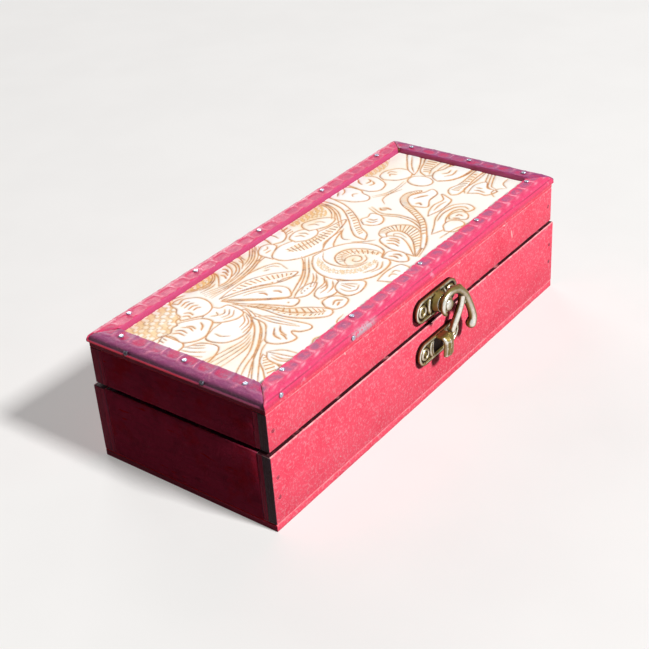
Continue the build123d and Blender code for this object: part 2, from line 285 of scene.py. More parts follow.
def block(low, high):
    """A box from its low to its high corner."""
    only(None)
    bpy.ops.mesh.primitive_cube_add(size=1.0, location=(low + high) / 2, scale=high - low)
    return settle(bpy.context.object)


def round_bar(middle, radius, depth, vertices=64):
    """A round bar along Y."""
    bpy.ops.mesh.primitive_cylinder_add(vertices=vertices, radius=radius, depth=depth,
                                        rotation=(pi / 2, 0, 0), location=middle)
    return bpy.context.object


def apply_modifier(piece, kind, **settings):
    """Add one modifier with its settings and apply it."""
    only(piece)
    made = piece.modifiers.new(kind.title(), kind)
    for key, value in settings.items():
        setattr(made, key, value)
    bpy.ops.object.modifier_apply(modifier=made.name)


def join(pieces, name):
    """Join pieces into the first one."""
    only(pieces[0])
    for piece in pieces:
        piece.select_set(True)
    bpy.ops.object.join()
    return name_piece(name)


def points_of(piece):
    """The mesh points of a piece as an array of rows."""
    flat = np.zeros(len(piece.data.vertices) * 3)
    piece.data.vertices.foreach_get("co", flat)
    return flat.reshape(-1, 3)


def normals_of(piece):
    """The outward direction at each mesh point."""
    flat = np.zeros(len(piece.data.vertices) * 3, np.float32)
    piece.data.vertex_normals.foreach_get("vector", flat)
    return flat.reshape(-1, 3)


def move_points(piece, points):
    """Put the mesh points of a piece where the array says."""
    piece.data.vertices.foreach_set("co", np.asarray(points, np.float32).ravel())
    piece.data.update()


def store(piece, **layers):
    """Keep named numbers for each mesh point, for the material to read."""
    for name, values in layers.items():
        layer = piece.data.attributes.new(name, "FLOAT", "POINT")
        layer.data.foreach_set("value", np.asarray(values, np.float32).ravel())


def rise(values, start, span):
    """0 up to the start, 1 from a span further on; a span below 0 goes the other way."""
    return np.clip((values - start) / span, 0, 1)


def bell(values, width, power=2):
    """1 where the values are 0, falling to 0 past a width; a higher power falls more steeply."""
    return np.exp(-(values / width) ** power)


def eased(values):
    """Values from 0 to 1 with soft ends."""
    return values * values * (3 - 2 * values)


def run_along(rows):
    """How far along a curve each of its rows is."""
    return np.concatenate([[0.0], np.cumsum(np.hypot(*np.diff(rows, axis=0).T))])


def place_on(rows, stops, at):
    """Places on a curve, when stops says how far along each of its rows is."""
    return np.stack([np.interp(at, stops, rows[:, i]) for i in (0, 1)], -1)


def lumps(points, size_mm, seed=0.0):
    """Soft noise between about -1 and 1 at each point, with lumps of one size."""
    shift = Vector((seed, seed * 1.7, -seed))
    return np.array([noise.noise(Vector(point) / (size_mm * MM) + shift) for point in points])


def smooth(piece, angle=30.0):
    """Shade smooth, with edges kept crisp past the angle."""
    only(piece)
    bpy.ops.object.shade_smooth_by_angle(angle=radians(angle))


def fit(piece, body, slot, *nodes):
    """Let a finished piece ride on its body in place of its CAD nodes."""
    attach(piece, body)
    if nodes:
        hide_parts(*nodes)
    return piece


def solids_of(node):
    """Low and high corner of each separate solid of a CAD node, found on a merged copy."""
    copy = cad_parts[node].copy()
    copy.data = copy.data.copy()
    copy.parent = None
    bpy.context.scene.collection.objects.link(copy)
    with editing(copy, action="SELECT"):
        bpy.ops.mesh.remove_doubles(threshold=MERGE_REACH)
        bpy.ops.mesh.separate(type="LOOSE")
    boxes = []
    for piece in list(bpy.context.selected_objects):
        places = points_of(piece)
        boxes.append((Vector(places.min(0)), Vector(places.max(0))))
        bpy.data.objects.remove(piece)
    return boxes
# Stained boards


# A long board's end drank the most stain in its outer part, this wide
END_GRAIN_DARK = 3.5 * MM
# Only the lid's top and the base's bottom are thinner than this
THIN_BOARD = 4.0 * MM
BOARD_CUTS = 4.0 * MM
# An edge runs along the grain from this share, and is sharp from this angle in radians
ALONG_GRAIN = 0.9
SHARP_EDGE = 1.0
EDGE_WEAR_REACH = 0.8 * MM
EDGE_WEAR_DEPTH = 0.35 * MM
WOOD_ROUGHNESS = 0.66
LONG_BOARD_GLOSS, END_BOARD_GLOSS = 0.18, 0.05
RUBBED_MARKS = (
    # x, z, half length, half width in millimetres, turn in degrees
    (64.4, 42.2, 2.4, 0.6, 75), (58.0, 49.0, 1.0, 0.35, 20), (22.6, 48.3, 0.9, 0.3, 10),
    (-54.4, 48.6, 0.75, 0.4, 60), (-40.0, 46.9, 0.5, 0.2, 0), (36.0, 14.0, 0.6, 0.2, 0),
    (-62.0, 8.5, 0.6, 0.25, 30), (-12.0, 11.0, 0.5, 0.2, 0),
)


def rubbed_marks(tree, point, face_y):
    """Small places on the front where the stain is knocked off, 0 to 1."""
    share = 0.0
    for x, z, long_half, half, turn in RUBBED_MARKS:
        near = add_node(tree, "Mapping",
                        {"Vector": point, "Location": (x * MM, face_y, z * MM),
                         "Rotation": (0, radians(turn), 0), "Scale": (long_half * MM, MM, half * MM)},
                        vector_type="TEXTURE")
        reach = add_node(tree, "VectorMath", {0: near}, output="Value", operation="LENGTH")
        mark = add_node(tree, "MapRange", {"Value": reach, "From Min": 1.1, "From Max": 0.6},
                        interpolation_type="SMOOTHSTEP")
        share = add_node(tree, "Math", {0: share, 1: mark}, operation="MAXIMUM")
    return share


def edge_distance(tree, point, low, high):
    """Distance in millimetres to the faces along each axis, and to the nearest long edge, which
    is the middle one of the three."""
    centred = add_node(tree, "Mapping", {"Vector": point, "Location": -(low + high) / 2})
    size = add_node(tree, "VectorMath", {0: centred}, operation="ABSOLUTE")
    inward = add_node(tree, "VectorMath", {0: (high - low) / 2, 1: size}, operation="SUBTRACT")
    inward = add_node(tree, "VectorMath", {0: inward, "Scale": 1 / MM}, operation="SCALE")
    x, y, z = add_node(tree, "SeparateXYZ", {0: inward}).node.outputs
    nearer, farther = (add_node(tree, "Math", {0: x, 1: y}, operation=choice)
                       for choice in ("MINIMUM", "MAXIMUM"))
    second = add_node(tree, "Math", {0: farther, 1: z}, operation="MINIMUM")
    return (x, y, z), add_node(tree, "Math", {0: nearer, 1: second}, operation="MAXIMUM")


def end_colour(tree, point, low, high, from_top):
    """Colour of a long board's end: darkest in its outer part, in upright growth-ring streaks of blue-grey, a
    painted reflection. A thin board's end is dark, with a bright red line along its edges, a painted
    highlight."""
    wood = bpy.context.scene.pen_box_wood
    if high.z - low.z < THIN_BOARD:
        # Painted highlight: a bright red line within 0.45 mm of a thin board's top and bottom faces
        line = add_node(tree, "MapRange", {"Value": from_top, "From Min": 0.45, "From Max": 0.20})
        return coats(tree, deepened(wood.stain_end, 0.40), (line, linear("#FF2438")))
    outward = -1 if low.y + high.y < 0 else 1
    turn_y = (low.y if outward < 0 else high.y) - outward * END_GRAIN_DARK
    y = add_node(tree, "SeparateXYZ", {0: point}, output="Y")
    inner = add_node(tree, "MapRange",
                     {"Value": y, "From Min": turn_y, "From Max": turn_y - 0.15 * outward * END_GRAIN_DARK})
    # Upright blue-grey streaks along the grain: growth rings, coloured as a painted reflection
    rings_and_reflection = blotches(tree, point, 0.7, 0.45, 0.7, 2.0, (1.0, 1.0, 0.04))
    first = wood.end_grain if high.y < 0 else deepened(wood.stain_end, 0.55)
    return coats(tree, first, (inner, deepened(wood.stain_end, 0.8)), (rings_and_reflection, linear("#5A4458"), 0.5))


def painted_seam_shade(tree, point, gaps, grain_axis):
    """How much painted shade darkens the faces where lid and base meet, so that the seam between them looks
    dark; broken here and there.
    """
    meeting = add_node(tree, "MapRange", {"Value": gaps[2], "From Min": 0.35, "From Max": 0.15})
    within = add_node(tree, "MapRange", {"Value": gaps[1 - grain_axis], "From Min": 0.30, "From Max": 0.50})
    breaks = blotches(tree, point, 7.0, 0.78, 0.58, 3.0)
    breaks = add_node(tree, "Math", {0: breaks, 1: 0.45, 2: 0.55}, operation="MULTIPLY_ADD")
    seam_shade = add_node(tree, "Math", {0: meeting, 1: within}, operation="MULTIPLY")
    return add_node(tree, "Math", {0: seam_shade, 1: breaks}, operation="MULTIPLY")


def stained_board_material(name, low, high, grain_axis):
    """Thin basswood board, red spirit stain wiped on by hand: matt, finely speckled where the fibres took
    less, clouded where they took more, dark at the ends and rubbed pale at the edges. The end boards carry a
    deeper stain that is partly painted shade, and blue-grey edges that are a painted reflection; where lid
    and base meet, the faces carry painted shade that darkens the seam."""
    wood = bpy.context.scene.pen_box_wood
    material, tree, point = start_material(name)
    long_board, front = grain_axis == 0, high.y < 0
    stretch = [1.0, 1.0, 1.0]
    stretch[grain_axis] = 0.10
    speckle = blotches(tree, point, 0.8, 0.47, 0.66, 5.0)
    grain = blotches(tree, point, 1.3, 0.40, 0.75, 3.0, stretch)
    if long_board:
        worn, gloss = wood.worn, LONG_BOARD_GLOSS
        clouds = blotches(tree, point, 15.0, 0.42, 0.72, 5.0)
        colour = coats(tree, wood.stain, (clouds, wood.stain_deep, 0.65), (grain, wood.stain_deep, 0.30),
                       (speckle, wood.speckle, 0.72))
    else:
        # The end boards are stained deeper, partly as painted shade: deep red, redder in places; their worn
        # edges are painted blue-grey, a painted reflection of the sky
        worn, gloss = linear("#6C6A86"), END_BOARD_GLOSS
        red = blotches(tree, point, 16.0, 0.50, 0.74, 3.0)
        streak = blotches(tree, point, 2.2, 0.66, 0.76, 2.0, (1.0, 0.22, 1.0))
        deeper_patches = blotches(tree, point, 9.0, 0.48, 0.72, 5.0)
        colour = coats(tree, wood.stain_end, (grain, deepened(wood.stain_end, 0.6), 0.30),
                       (deeper_patches, deepened(wood.stain_end, 0.45), 0.45), (red, linear("#FF1E2C"), 0.75),
                       (streak, linear("#FF1420")))

    gaps, edge = edge_distance(tree, point, low, high)
    ragged = blotches(tree, point, 2.4, 0.25, 0.75)
    rubbed = add_node(tree, "MapRange", {"Value": edge, "From Min": 0.0, "From Max": 0.42,
                                                   "To Min": 1.0, "To Max": -0.45})
    rubbed = add_node(tree, "Math", {0: ragged, 1: rubbed}, operation="MULTIPLY", use_clamp=True)
    colour = coats(tree, colour, (rubbed, worn))
    if front:
        colour = coats(tree, colour, (rubbed_marks(tree, point, low.y), linear("#FFB8B6")))
    if long_board:
        at_end = add_node(tree, "MapRange", {"Value": gaps[0], "From Min": 0.30, "From Max": 0.12})
        colour = coats(tree, colour, (at_end, end_colour(tree, point, low, high, gaps[2])))
    if high.z - low.z > THIN_BOARD:
        # Painted shade: the faces where lid and base meet are painted dark maroon, so that the seam looks
        # dark
        seam_shade = painted_seam_shade(tree, point, gaps, grain_axis)
        colour = coats(tree, colour, (seam_shade, linear("#340E16")))
        if front and "base" in name:
            # Under the seam the front is rubbed to pale wood, between the breaks in the painted seam shade
            lip = add_node(tree, "MapRange", {"Value": gaps[2], "From Min": 0.60, "From Max": 0.25})
            outside_seam_shade = add_node(tree, "Math", {0: 1.0, 1: seam_shade}, operation="SUBTRACT")
            colour = coats(tree, colour, (lip, linear("#F2C4C2"), ragged, outside_seam_shade))

    relief = coats(tree, speckle, (0.45, grain))
    finish_material(tree, colour, WOOD_ROUGHNESS, relief, 0.10, Specular_IOR_Level=gloss)
    return material


def make_board(node, body, grain_axis):
    """One board: cut to length along its grain, its edges eased and a little uneven."""
    wood = bpy.context.scene.pen_box_wood
    low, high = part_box(node)
    block(low, high)
    piece = name_piece(node + "_wood")
    with editing(piece, "EDGE") as mesh:
        for edge in mesh.edges:
            way = (edge.verts[1].co - edge.verts[0].co).normalized()
            edge.select_set(abs(way[grain_axis]) > ALONG_GRAIN)
        bpy.ops.mesh.subdivide(number_cuts=int((high - low)[grain_axis] / BOARD_CUTS))
        bpy.ops.mesh.select_all(action="DESELECT")
        for edge in bmesh.from_edit_mesh(piece.data).edges:
            edge.select_set(edge.calc_face_angle(0.0) > SHARP_EDGE)
        bpy.ops.mesh.bevel(offset=wood.edge_round, segments=3, profile=0.5)
    half, centre = (high - low) / 2, (high + low) / 2
    places = points_of(piece)
    gaps = np.sort(np.array(half) - np.abs(places - np.array(centre)), axis=1)
    wear = np.clip(1.0 - gaps[:, 1] / EDGE_WEAR_REACH, 0, 1)
    bite = np.clip(0.5 * lumps(places, 5.0) + 0.35 * lumps(places, 1.7, 3.0), 0, 1)
    inward = np.array(centre) - places
    inward[:, grain_axis] = 0
    inward /= np.linalg.norm(inward, axis=1)[:, None]
    move_points(piece, places + inward * (bite * wear * EDGE_WEAR_DEPTH)[:, None])
    smooth(piece, 25.0)
    paint(piece, stained_board_material("stained_board_" + node, low, high, grain_axis))
    return fit(piece, body, "stained_board", node)


class PENBOX_OT_boards(bpy.types.Operator):
    """Model the stained boards of the base and the lid"""
    bl_idname = "pen_box.boards"
    bl_label = "Boards"

    def execute(self, context):
        long_way, across = 0, 1
        for part in ("base", "lid"):
            for wall, grain_axis in (("front_board", long_way), ("back_board", long_way),
                                     ("left_end", across), ("right_end", across)):
                make_board("%s_%s" % (part, wall), part, grain_axis)
        make_board("base_bottom_board", "base", long_way)
        make_board("lid_top_board", "lid", long_way)
        return {"FINISHED"}


# Embossed leather


LEATHER_GRID = 0.5 * MM
LEATHER_THICK = 0.55 * MM
LEATHER_SINK = 0.12 * MM
# The flat strip lies this far under its CAD piece's top and this far above the board inside
TOP_PLAY = 0.1 * MM
INNER_EDGE = 0.5 * MM
# How close the embossing comes to that top, and how far it may pass the sides
TOP_CLEAR = 0.02 * MM
SIDE_PLAY = 0.05 * MM
PANEL_PLAY = 0.15 * MM
INNER_LIP = 0.9 * MM
# Neighbours leave a narrow gap at the mitre, which wanders
MITRE_GAP, MITRE_WANDER = 0.05 * MM, 0.22 * MM
MITRE_ROLL, MITRE_ROLL_REACH = 0.40 * MM, 0.5 * MM
WAVE_HEIGHT = 0.14 * MM
FOLD_DEPTH = 0.10 * MM
HEM_START, HEM_WIDE, HEM_DYE = 2.6 * MM, 2.2 * MM, 0.85
TACK_DENT, TACK_DENT_REACH = 0.35 * MM, 1.3 * MM
# Millimetres across a strip, outwards from the top of its inner lip: middle and half width
LARGE_CELL = (2.1, 2.5)
SMALL_CELL = (6.0, 1.7)
SPARK = (5.3, 0.42)
FOLD = (8.1, 0.30)
SCUFF_ACROSS = (9.2, 1.7)
# Millimetres along the front strip from the middle of the box: middle and half length
SCUFF_ALONG = (-43.0, 7.0)
# Millimetres where the pleats at the outer edge start, and from one pleat to the next
PLEATS_START, PLEAT_PITCH = 7.6, 1.25
CELL_START = 2.1 * MM
# How square the cells are: 2 is round
LARGE_POWER, SMALL_POWER = 2.8, 2.2
# The left strip's rows lie closer together near its lower edge, which is pinched to a lip, and
# its ridges show a little round each cell
LIP_CROWDING = 1.35
PINCH_DEPTH = 0.42 * MM
LEFT_CREASES = 0.2
# How strongly the inner side of each strip takes the #B44274 coat: a deeper tone on the back strip, and on
# the right strip painted light that brightens its shaded inner wall
INNER_SHADE = {"front": 0.0, "back": 0.8, "left": 0.0, "right": 1.0}
# How strongly each strip shows a painted highlight, a spark on its glaze beside the junctions of its cells
GLEAM = {"front": 1.0, "back": 0.8, "left": 0.0, "right": 0.25}
TRIM_SIDES = {
    # In order round the lid. Start corner, way along, way inward, outer rim radius and slope in mm
    "front": ((-1, -1), (1, 0), (0, 1), 2.2, 0.15),
    "right": ((1, -1), (0, 1), (-1, 0), 1.8, 0.15),
    "back": ((1, 1), (-1, 0), (0, -1), 2.2, 0.25),
    "left": ((-1, 1), (0, -1), (1, 0), 3.0, 0.35),
}


def leather_material(name, ridge, cell_colour, hem_colour, glint):
    """Split cowhide, crocodile-embossed by a hot plate, dyed and glazed: satin, greyed in the cells, rubbed
    paler on the ridges, fine pores all over. Painted light: highlights at the ridges' junctions and on sparks
    beside them, shade along the front strip's fold, a highlight on the left strip's lower lip, and the right
    strip's shaded inner wall painted lighter."""
    material, tree, point, cell, crest, hem, fold, scuff, inner, lip = start_material(
        name, "cell", "crest", "hem", "fold", "scuff", "inner", "lip")
    torn = blotches(tree, point, 1.1, 0.34, 0.52, 5.0)
    uneven = blotches(tree, point, 3.5, 0.30, 0.62)
    pores = blotches(tree, point, 0.6, 0.45, 0.72, 3.0)
    rubs = blotches(tree, point, 5.0, 0.60, 0.74, 6.0)
    # Painted light among these coats: crest holds rubbed ridges and painted highlights, fold is painted
    # shade, inner is a deeper tone on the back strip and painted light on the right strip's shaded wall, and
    # lip is a painted highlight
    colour = coats(tree, ridge, (cell, cell_colour, uneven), (hem, hem_colour), (crest, glint, 0.95),
                   (pores, glint, 0.12), (rubs, glint, 0.5), (fold, deepened(ridge, 0.3)),
                   (scuff, linear("#C4AEB8"), torn), (inner, linear("#B44274")), (lip, linear("#E8384E")))
    relief = coats(tree, uneven, (0.55, pores))
    rough = add_node(tree, "MapRange", {"Value": uneven, "To Min": 0.36, "To Max": 0.54})
    finish_material(tree, colour, rough, relief, 0.07, Specular_IOR_Level=0.38)
    return material


def wrap_section(wide, low, high, floor, rim, slope):
    """Section of the wrapped leather as rows of (inward, height), from its outer lower edge up,
    over the slat and down its inner side."""
    turn = np.linspace(0, pi / 2, 9)
    outer = np.stack([rim - rim * np.cos(turn), high - slope - rim + rim * np.sin(turn)], 1)
    inner = np.stack([wide - INNER_LIP + INNER_LIP * np.sin(turn),
                      high - INNER_LIP + INNER_LIP * np.cos(turn)], 1)
    return np.vstack([[(0.0, low)], outer, [(0.6 * wide, high)], inner, [(wide, floor)]])


def along_section(rows, share):
    """Point and outward direction at each share of a section's length."""
    stops = run_along(rows)
    at, step = share * stops[-1], 0.3 * MM
    way = place_on(rows, stops, at + step) - place_on(rows, stops, at - step)
    way /= np.maximum(np.hypot(way[:, 0], way[:, 1]), 1e-9)[:, None]
    return place_on(rows, stops, at), np.stack([-way[:, 1], way[:, 0]], 1)


def rounded(u, v, power):
    """How far each place is from the middle of a rounded cell, 1 on its edge."""
    return (u ** power + v ** power) ** (1 / power)


def crocodile(along, across, pitch, creases, gleam):
    """Embossed pattern at each place, in millimetres along the strip and across it from the top of its inner
    lip: how far inside a cell, how strongly its ridge crests are painted pale, and the height. The ridges
    show between the cells, and round them as far as creases says; their pale crests are rubbed glaze round
    the cells and painted highlights at the junctions. As strongly as gleam says, a painted highlight, a
    slanting spark, lies outside each junction and is raised a little. The sines move each cell a little."""
    number = np.round(along / pitch)
    u = np.abs(along - number * pitch - 0.5 * np.sin(number * 12.9)) / (pitch / 2)
    v = np.abs(across - LARGE_CELL[0] - 0.25 * np.sin(number * 4.7)) / (LARGE_CELL[1] + 3.0 * creases)
    large = rounded(u, v, LARGE_POWER)
    junction = creases + (1 - creases) * rise(u, 0.78, 0.2) * rise(across, 0, 2.4)
    half = np.round(along / pitch - 0.5)
    off = along / pitch - 0.5 - half
    u = np.abs(off) * 2
    v = np.abs(across - SMALL_CELL[0] - 0.2 * np.sin(half * 7.3)) / SMALL_CELL[1]
    small = rounded(u, v, SMALL_POWER)
    # Spark: a painted highlight on the glaze, also raised a little in the height
    spark = gleam * bell(u, SPARK[1]) * bell(across - SPARK[0] + 1.6 * off, SPARK[1])
    spark = spark * (0.75 + 0.25 * np.sin(half * 5.1))
    cell = rise(large, 0.92 + 0.08 * creases, -0.35)
    crest = np.maximum(bell(large - 1.08, 0.10) * (across > -0.6), 0.45 * bell(small - 1.0, 0.12))
    pleats = rise(across, PLEATS_START, 1.2) * (0.5 + 0.5 * np.cos(2 * pi * along / PLEAT_PITCH))
    height = crest - 0.35 * cell * (1 - large) - 0.35 * pleats + 0.5 * spark
    return eased(cell), np.maximum(crest * junction, spark), height


def inner_widths():
    """Width of each leather strip seen from above, from its skin to the opening round the panel."""
    low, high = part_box("tooled_panel")
    return {"left": low.x - PANEL_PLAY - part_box("trim_left")[0].x,
            "right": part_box("trim_right")[1].x - high.x - PANEL_PLAY,
            "front": low.y - PANEL_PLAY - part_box("trim_front")[0].y,
            "back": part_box("trim_back")[1].y - high.y - PANEL_PLAY}


def make_trim(side, tacks):
    """One strip of leather: a flat sheet wrapped over its slat, mitred, embossed and thickened."""
    leather = bpy.context.scene.pen_box_leather
    corner, along_way, inward_way, rim, slope = TRIM_SIDES[side]
    widths = inner_widths()
    round_lid = list(TRIM_SIDES)
    order = round_lid.index(side)
    before, after = widths[round_lid[order - 1]], widths[round_lid[(order + 1) % 4]]
    wide = widths[side]
    low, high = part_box("trim_" + side)
    skin = np.array([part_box("trim_right")[1].x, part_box("trim_back")[1].y, 0.0])
    length = 2 * skin[0 if along_way[0] else 1]
    rows = wrap_section(wide, low.z, high.z - TOP_PLAY, low.z + INNER_EDGE, rim * MM, slope * MM)
    girth = run_along(rows)[-1]

    only(None)
    bpy.ops.mesh.primitive_grid_add(x_subdivisions=int(length / LEATHER_GRID),
                                    y_subdivisions=int(girth / LEATHER_GRID), size=1.0)
    piece = name_piece("leather_" + side)
    flat = points_of(piece)
    along, share = flat[:, 0] + 0.5, flat[:, 1] + 0.5
    if side == "left":
        share = share ** LIP_CROWDING
    section, normal = along_section(rows, share)

    # Mitred ends that wander a little
    wander = 0.5 + 0.5 * np.sin(share * 11.0 + order) * np.sin(share * 23.0)
    start = section[:, 0] * before / wide + MITRE_GAP + MITRE_WANDER * wander
    end = length - section[:, 0] * after / wide - MITRE_GAP - MITRE_WANDER * (1 - wander)
    run = start + along * (end - start)
    lip = rows[-2, 1] - rows[-1, 1] + INNER_LIP * pi / 2
    across = (1 - share) * girth - lip
    run_mm, across_mm, from_edge_mm = run / MM, across / MM, share * girth / MM

    cell, crest, height = crocodile((run + CELL_START) / MM, across_mm, leather.cell_pitch / MM,
                                    LEFT_CREASES if side == "left" else 0.0, GLEAM[side])
    spread = np.stack([run, share * girth, np.full(len(run), order * 10 * MM)], 1)
    lift = leather.emboss_depth * height + WAVE_HEIGHT * lumps(spread, 7.0)
    lift -= MITRE_ROLL * bell(np.minimum(run - start, end - run), MITRE_ROLL_REACH, 1)
    hem = rise(across, girth - lip - HEM_START, HEM_WIDE)
    lift *= np.clip((1 - share) * girth / (2 * MM), 0.15, 1) * (1 - 0.7 * hem)
    fold = scuff = lit = np.zeros(len(run))
    if side == "front":
        # A fold runs along the strip where the leather turns down, sunk a little and painted dark as shade in
        # it, and one place is scuffed
        fold = 0.75 * bell(across_mm - FOLD[0] - 0.2 * np.sin(run_mm / 9), FOLD[1])
        from_middle = (run + skin[0] * corner[0]) / MM
        scuff = (bell(from_middle - SCUFF_ALONG[0], SCUFF_ALONG[1], 4)
                 * bell(across_mm - SCUFF_ACROSS[0], SCUFF_ACROSS[1]))
        lift -= FOLD_DEPTH * fold
    if side == "left":
        lift -= PINCH_DEPTH * rise(from_edge_mm, 0.30, 0.5) * rise(from_edge_mm, 2.4, -1.2)
        # Painted highlight: the left strip's lowest edge, pinched to a lip, is painted bright red as if it
        # caught the light, weaker towards the front
        lit = rise(from_edge_mm, 0.78, -0.2) * (0.25 + 0.75 * rise(run / length, 0.70, -0.15))
        hem = np.maximum(hem, 0.45 * rise(across_mm, 5.4, 3.2))
    # The inner side's coat: painted light on the right strip's shaded wall, a deeper tone on the back strip
    inner = rise(across_mm, 0, -0.8) * INNER_SHADE[side]
    section = section + normal * (lift - LEATHER_SINK)[:, None]

    # Lay the strip round the lid, dented by its tacks and kept inside its CAD piece
    moved = np.array([corner[0] * skin[0], corner[1] * skin[1], 0.0])
    moved = moved + np.outer(run, along_way + (0,)) + np.outer(section[:, 0], inward_way + (0,))
    moved[:, 2] = section[:, 1]
    for tack_low, tack_high in tacks:
        gap = np.linalg.norm(moved - np.array((tack_low + tack_high) / 2), axis=1)
        moved[:, 2] -= TACK_DENT * bell(gap, TACK_DENT_REACH) * (normal[:, 1] > 0.5)
    moved[:, 2] = np.minimum(moved[:, 2], high.z - TOP_CLEAR)
    moved[:, :2] = np.clip(moved[:, :2], -skin[:2] - SIDE_PLAY, skin[:2] + SIDE_PLAY)
    move_points(piece, moved)
    store(piece, cell=cell, crest=crest, hem=hem * HEM_DYE, fold=fold, scuff=scuff, inner=inner, lip=lit)
    if sum(face.normal.z for face in piece.data.polygons) < 0:
        with editing(piece, action="SELECT"):
            bpy.ops.mesh.flip_normals()
    apply_modifier(piece, "SOLIDIFY", thickness=LEATHER_THICK, offset=-1.0)
    smooth(piece, 50.0)
    return fit(piece, "lid", "trim_leather", "trim_" + side)


class PENBOX_OT_leather(bpy.types.Operator):
    """Wrap the embossed leather over the slats of the lid's frame"""
    bl_idname = "pen_box.leather"
    bl_label = "Leather frame"

    def execute(self, context):
        leather = context.scene.pen_box_leather
        fresh = (leather.ridge, leather.cell, leather.hem, leather.glint)
        faded = (leather.faded_ridge, leather.faded_cell, leather.faded_hem, leather.faded_glint)
        # The back strip hardly shows its cells: they keep much of the ridges' colour
        plain = [0.35 * dark + 0.65 * light for dark, light in zip(leather.cell, leather.ridge)]
        plain = [deepened(colour, 0.88) for colour in (leather.ridge, plain, leather.hem, leather.glint)]
        tacks = solids_of("trim_tacks")
        for side, dyes in (("front", fresh), ("back", plain), ("left", faded), ("right", faded)):
            paint(make_trim(side, tacks), leather_material("embossed_leather_" + side, *dyes))
        return {"FINISHED"}


# Tooled panel


# What the tools leave at each mesh point
LAYERS = ("cut", "gap", "mat", "tint", "rib", "ribbed")
# Millimetres over which the dye of a cut fades, and a distance past all that the dye reaches
CUT_BLUR = 0.17
FAR = 5.0
# Millimetres round a line that it can reach, and the taper of a closed outline
LINE_REACH = 2.0
OUTLINE_TAPER = 0.3
# Share of a tint that stays when a new outline is laid over it
TINT_KEPT = 0.3
# Each ribbed strip is measured in this many steps, tinted this much and drawn this strongly
RIB_STEPS = 60
RIB_TINT = 0.24
RIB_STRENGTH = 0.95
# Rows of seeds lie closer than the seeds in a row
ROW_SHARE = 0.87
PUNCH_LENGTH = 0.1
# Depth of the ground, the cuts and the matted places as shares of the full depth
GROUND_SHARE, CUT_SHARE, MAT_SHARE = 0.4, 0.4, 0.25
PILLOW_REACH = 1.1
SHEET_DROP = 0.02 * MM
SHEET_WAVE = 0.03 * MM
# Centre and radius in millimetres and strength of each soft tinted patch
WASHES = (
    ((-84, 30), 12, 0.3), ((-45, 34), 7, 0.4), ((18, 34), 11, 0.4), ((-84, -10), 10, 0.16),
    ((88, 12), 7, 0.3), ((72, 33), 12, 0.2), ((-26, 30), 8, 0.2), ((-1, -6), 7, 0.3), ((50, -24), 8, 0.15),
)


def spline(points, steps=9):
    """A smooth curve through a few points, as rows."""
    points = np.array(points, float)
    ends = np.vstack([2 * points[0] - points[1], points, 2 * points[-1] - points[-2]])
    t = np.arange(steps)[:, None] / steps
    spans = [start + t / 2 * (end - before + t * (2 * before - 5 * start + 4 * end - after
                              + t * (3 * (start - end) + after - before)))
             for before, start, end, after in zip(ends, ends[1:], ends[2:], ends[3:])]
    return np.vstack(spans + [points[-1:]])


def beside(rows, gap):
    """A curve moved to its left by a gap, which may change along it."""
    way = np.gradient(rows, axis=0)
    way /= np.hypot(way[:, 0], way[:, 1])[:, None]
    return rows + np.stack([-way[:, 1], way[:, 0]], 1) * np.reshape(gap, (-1, 1))


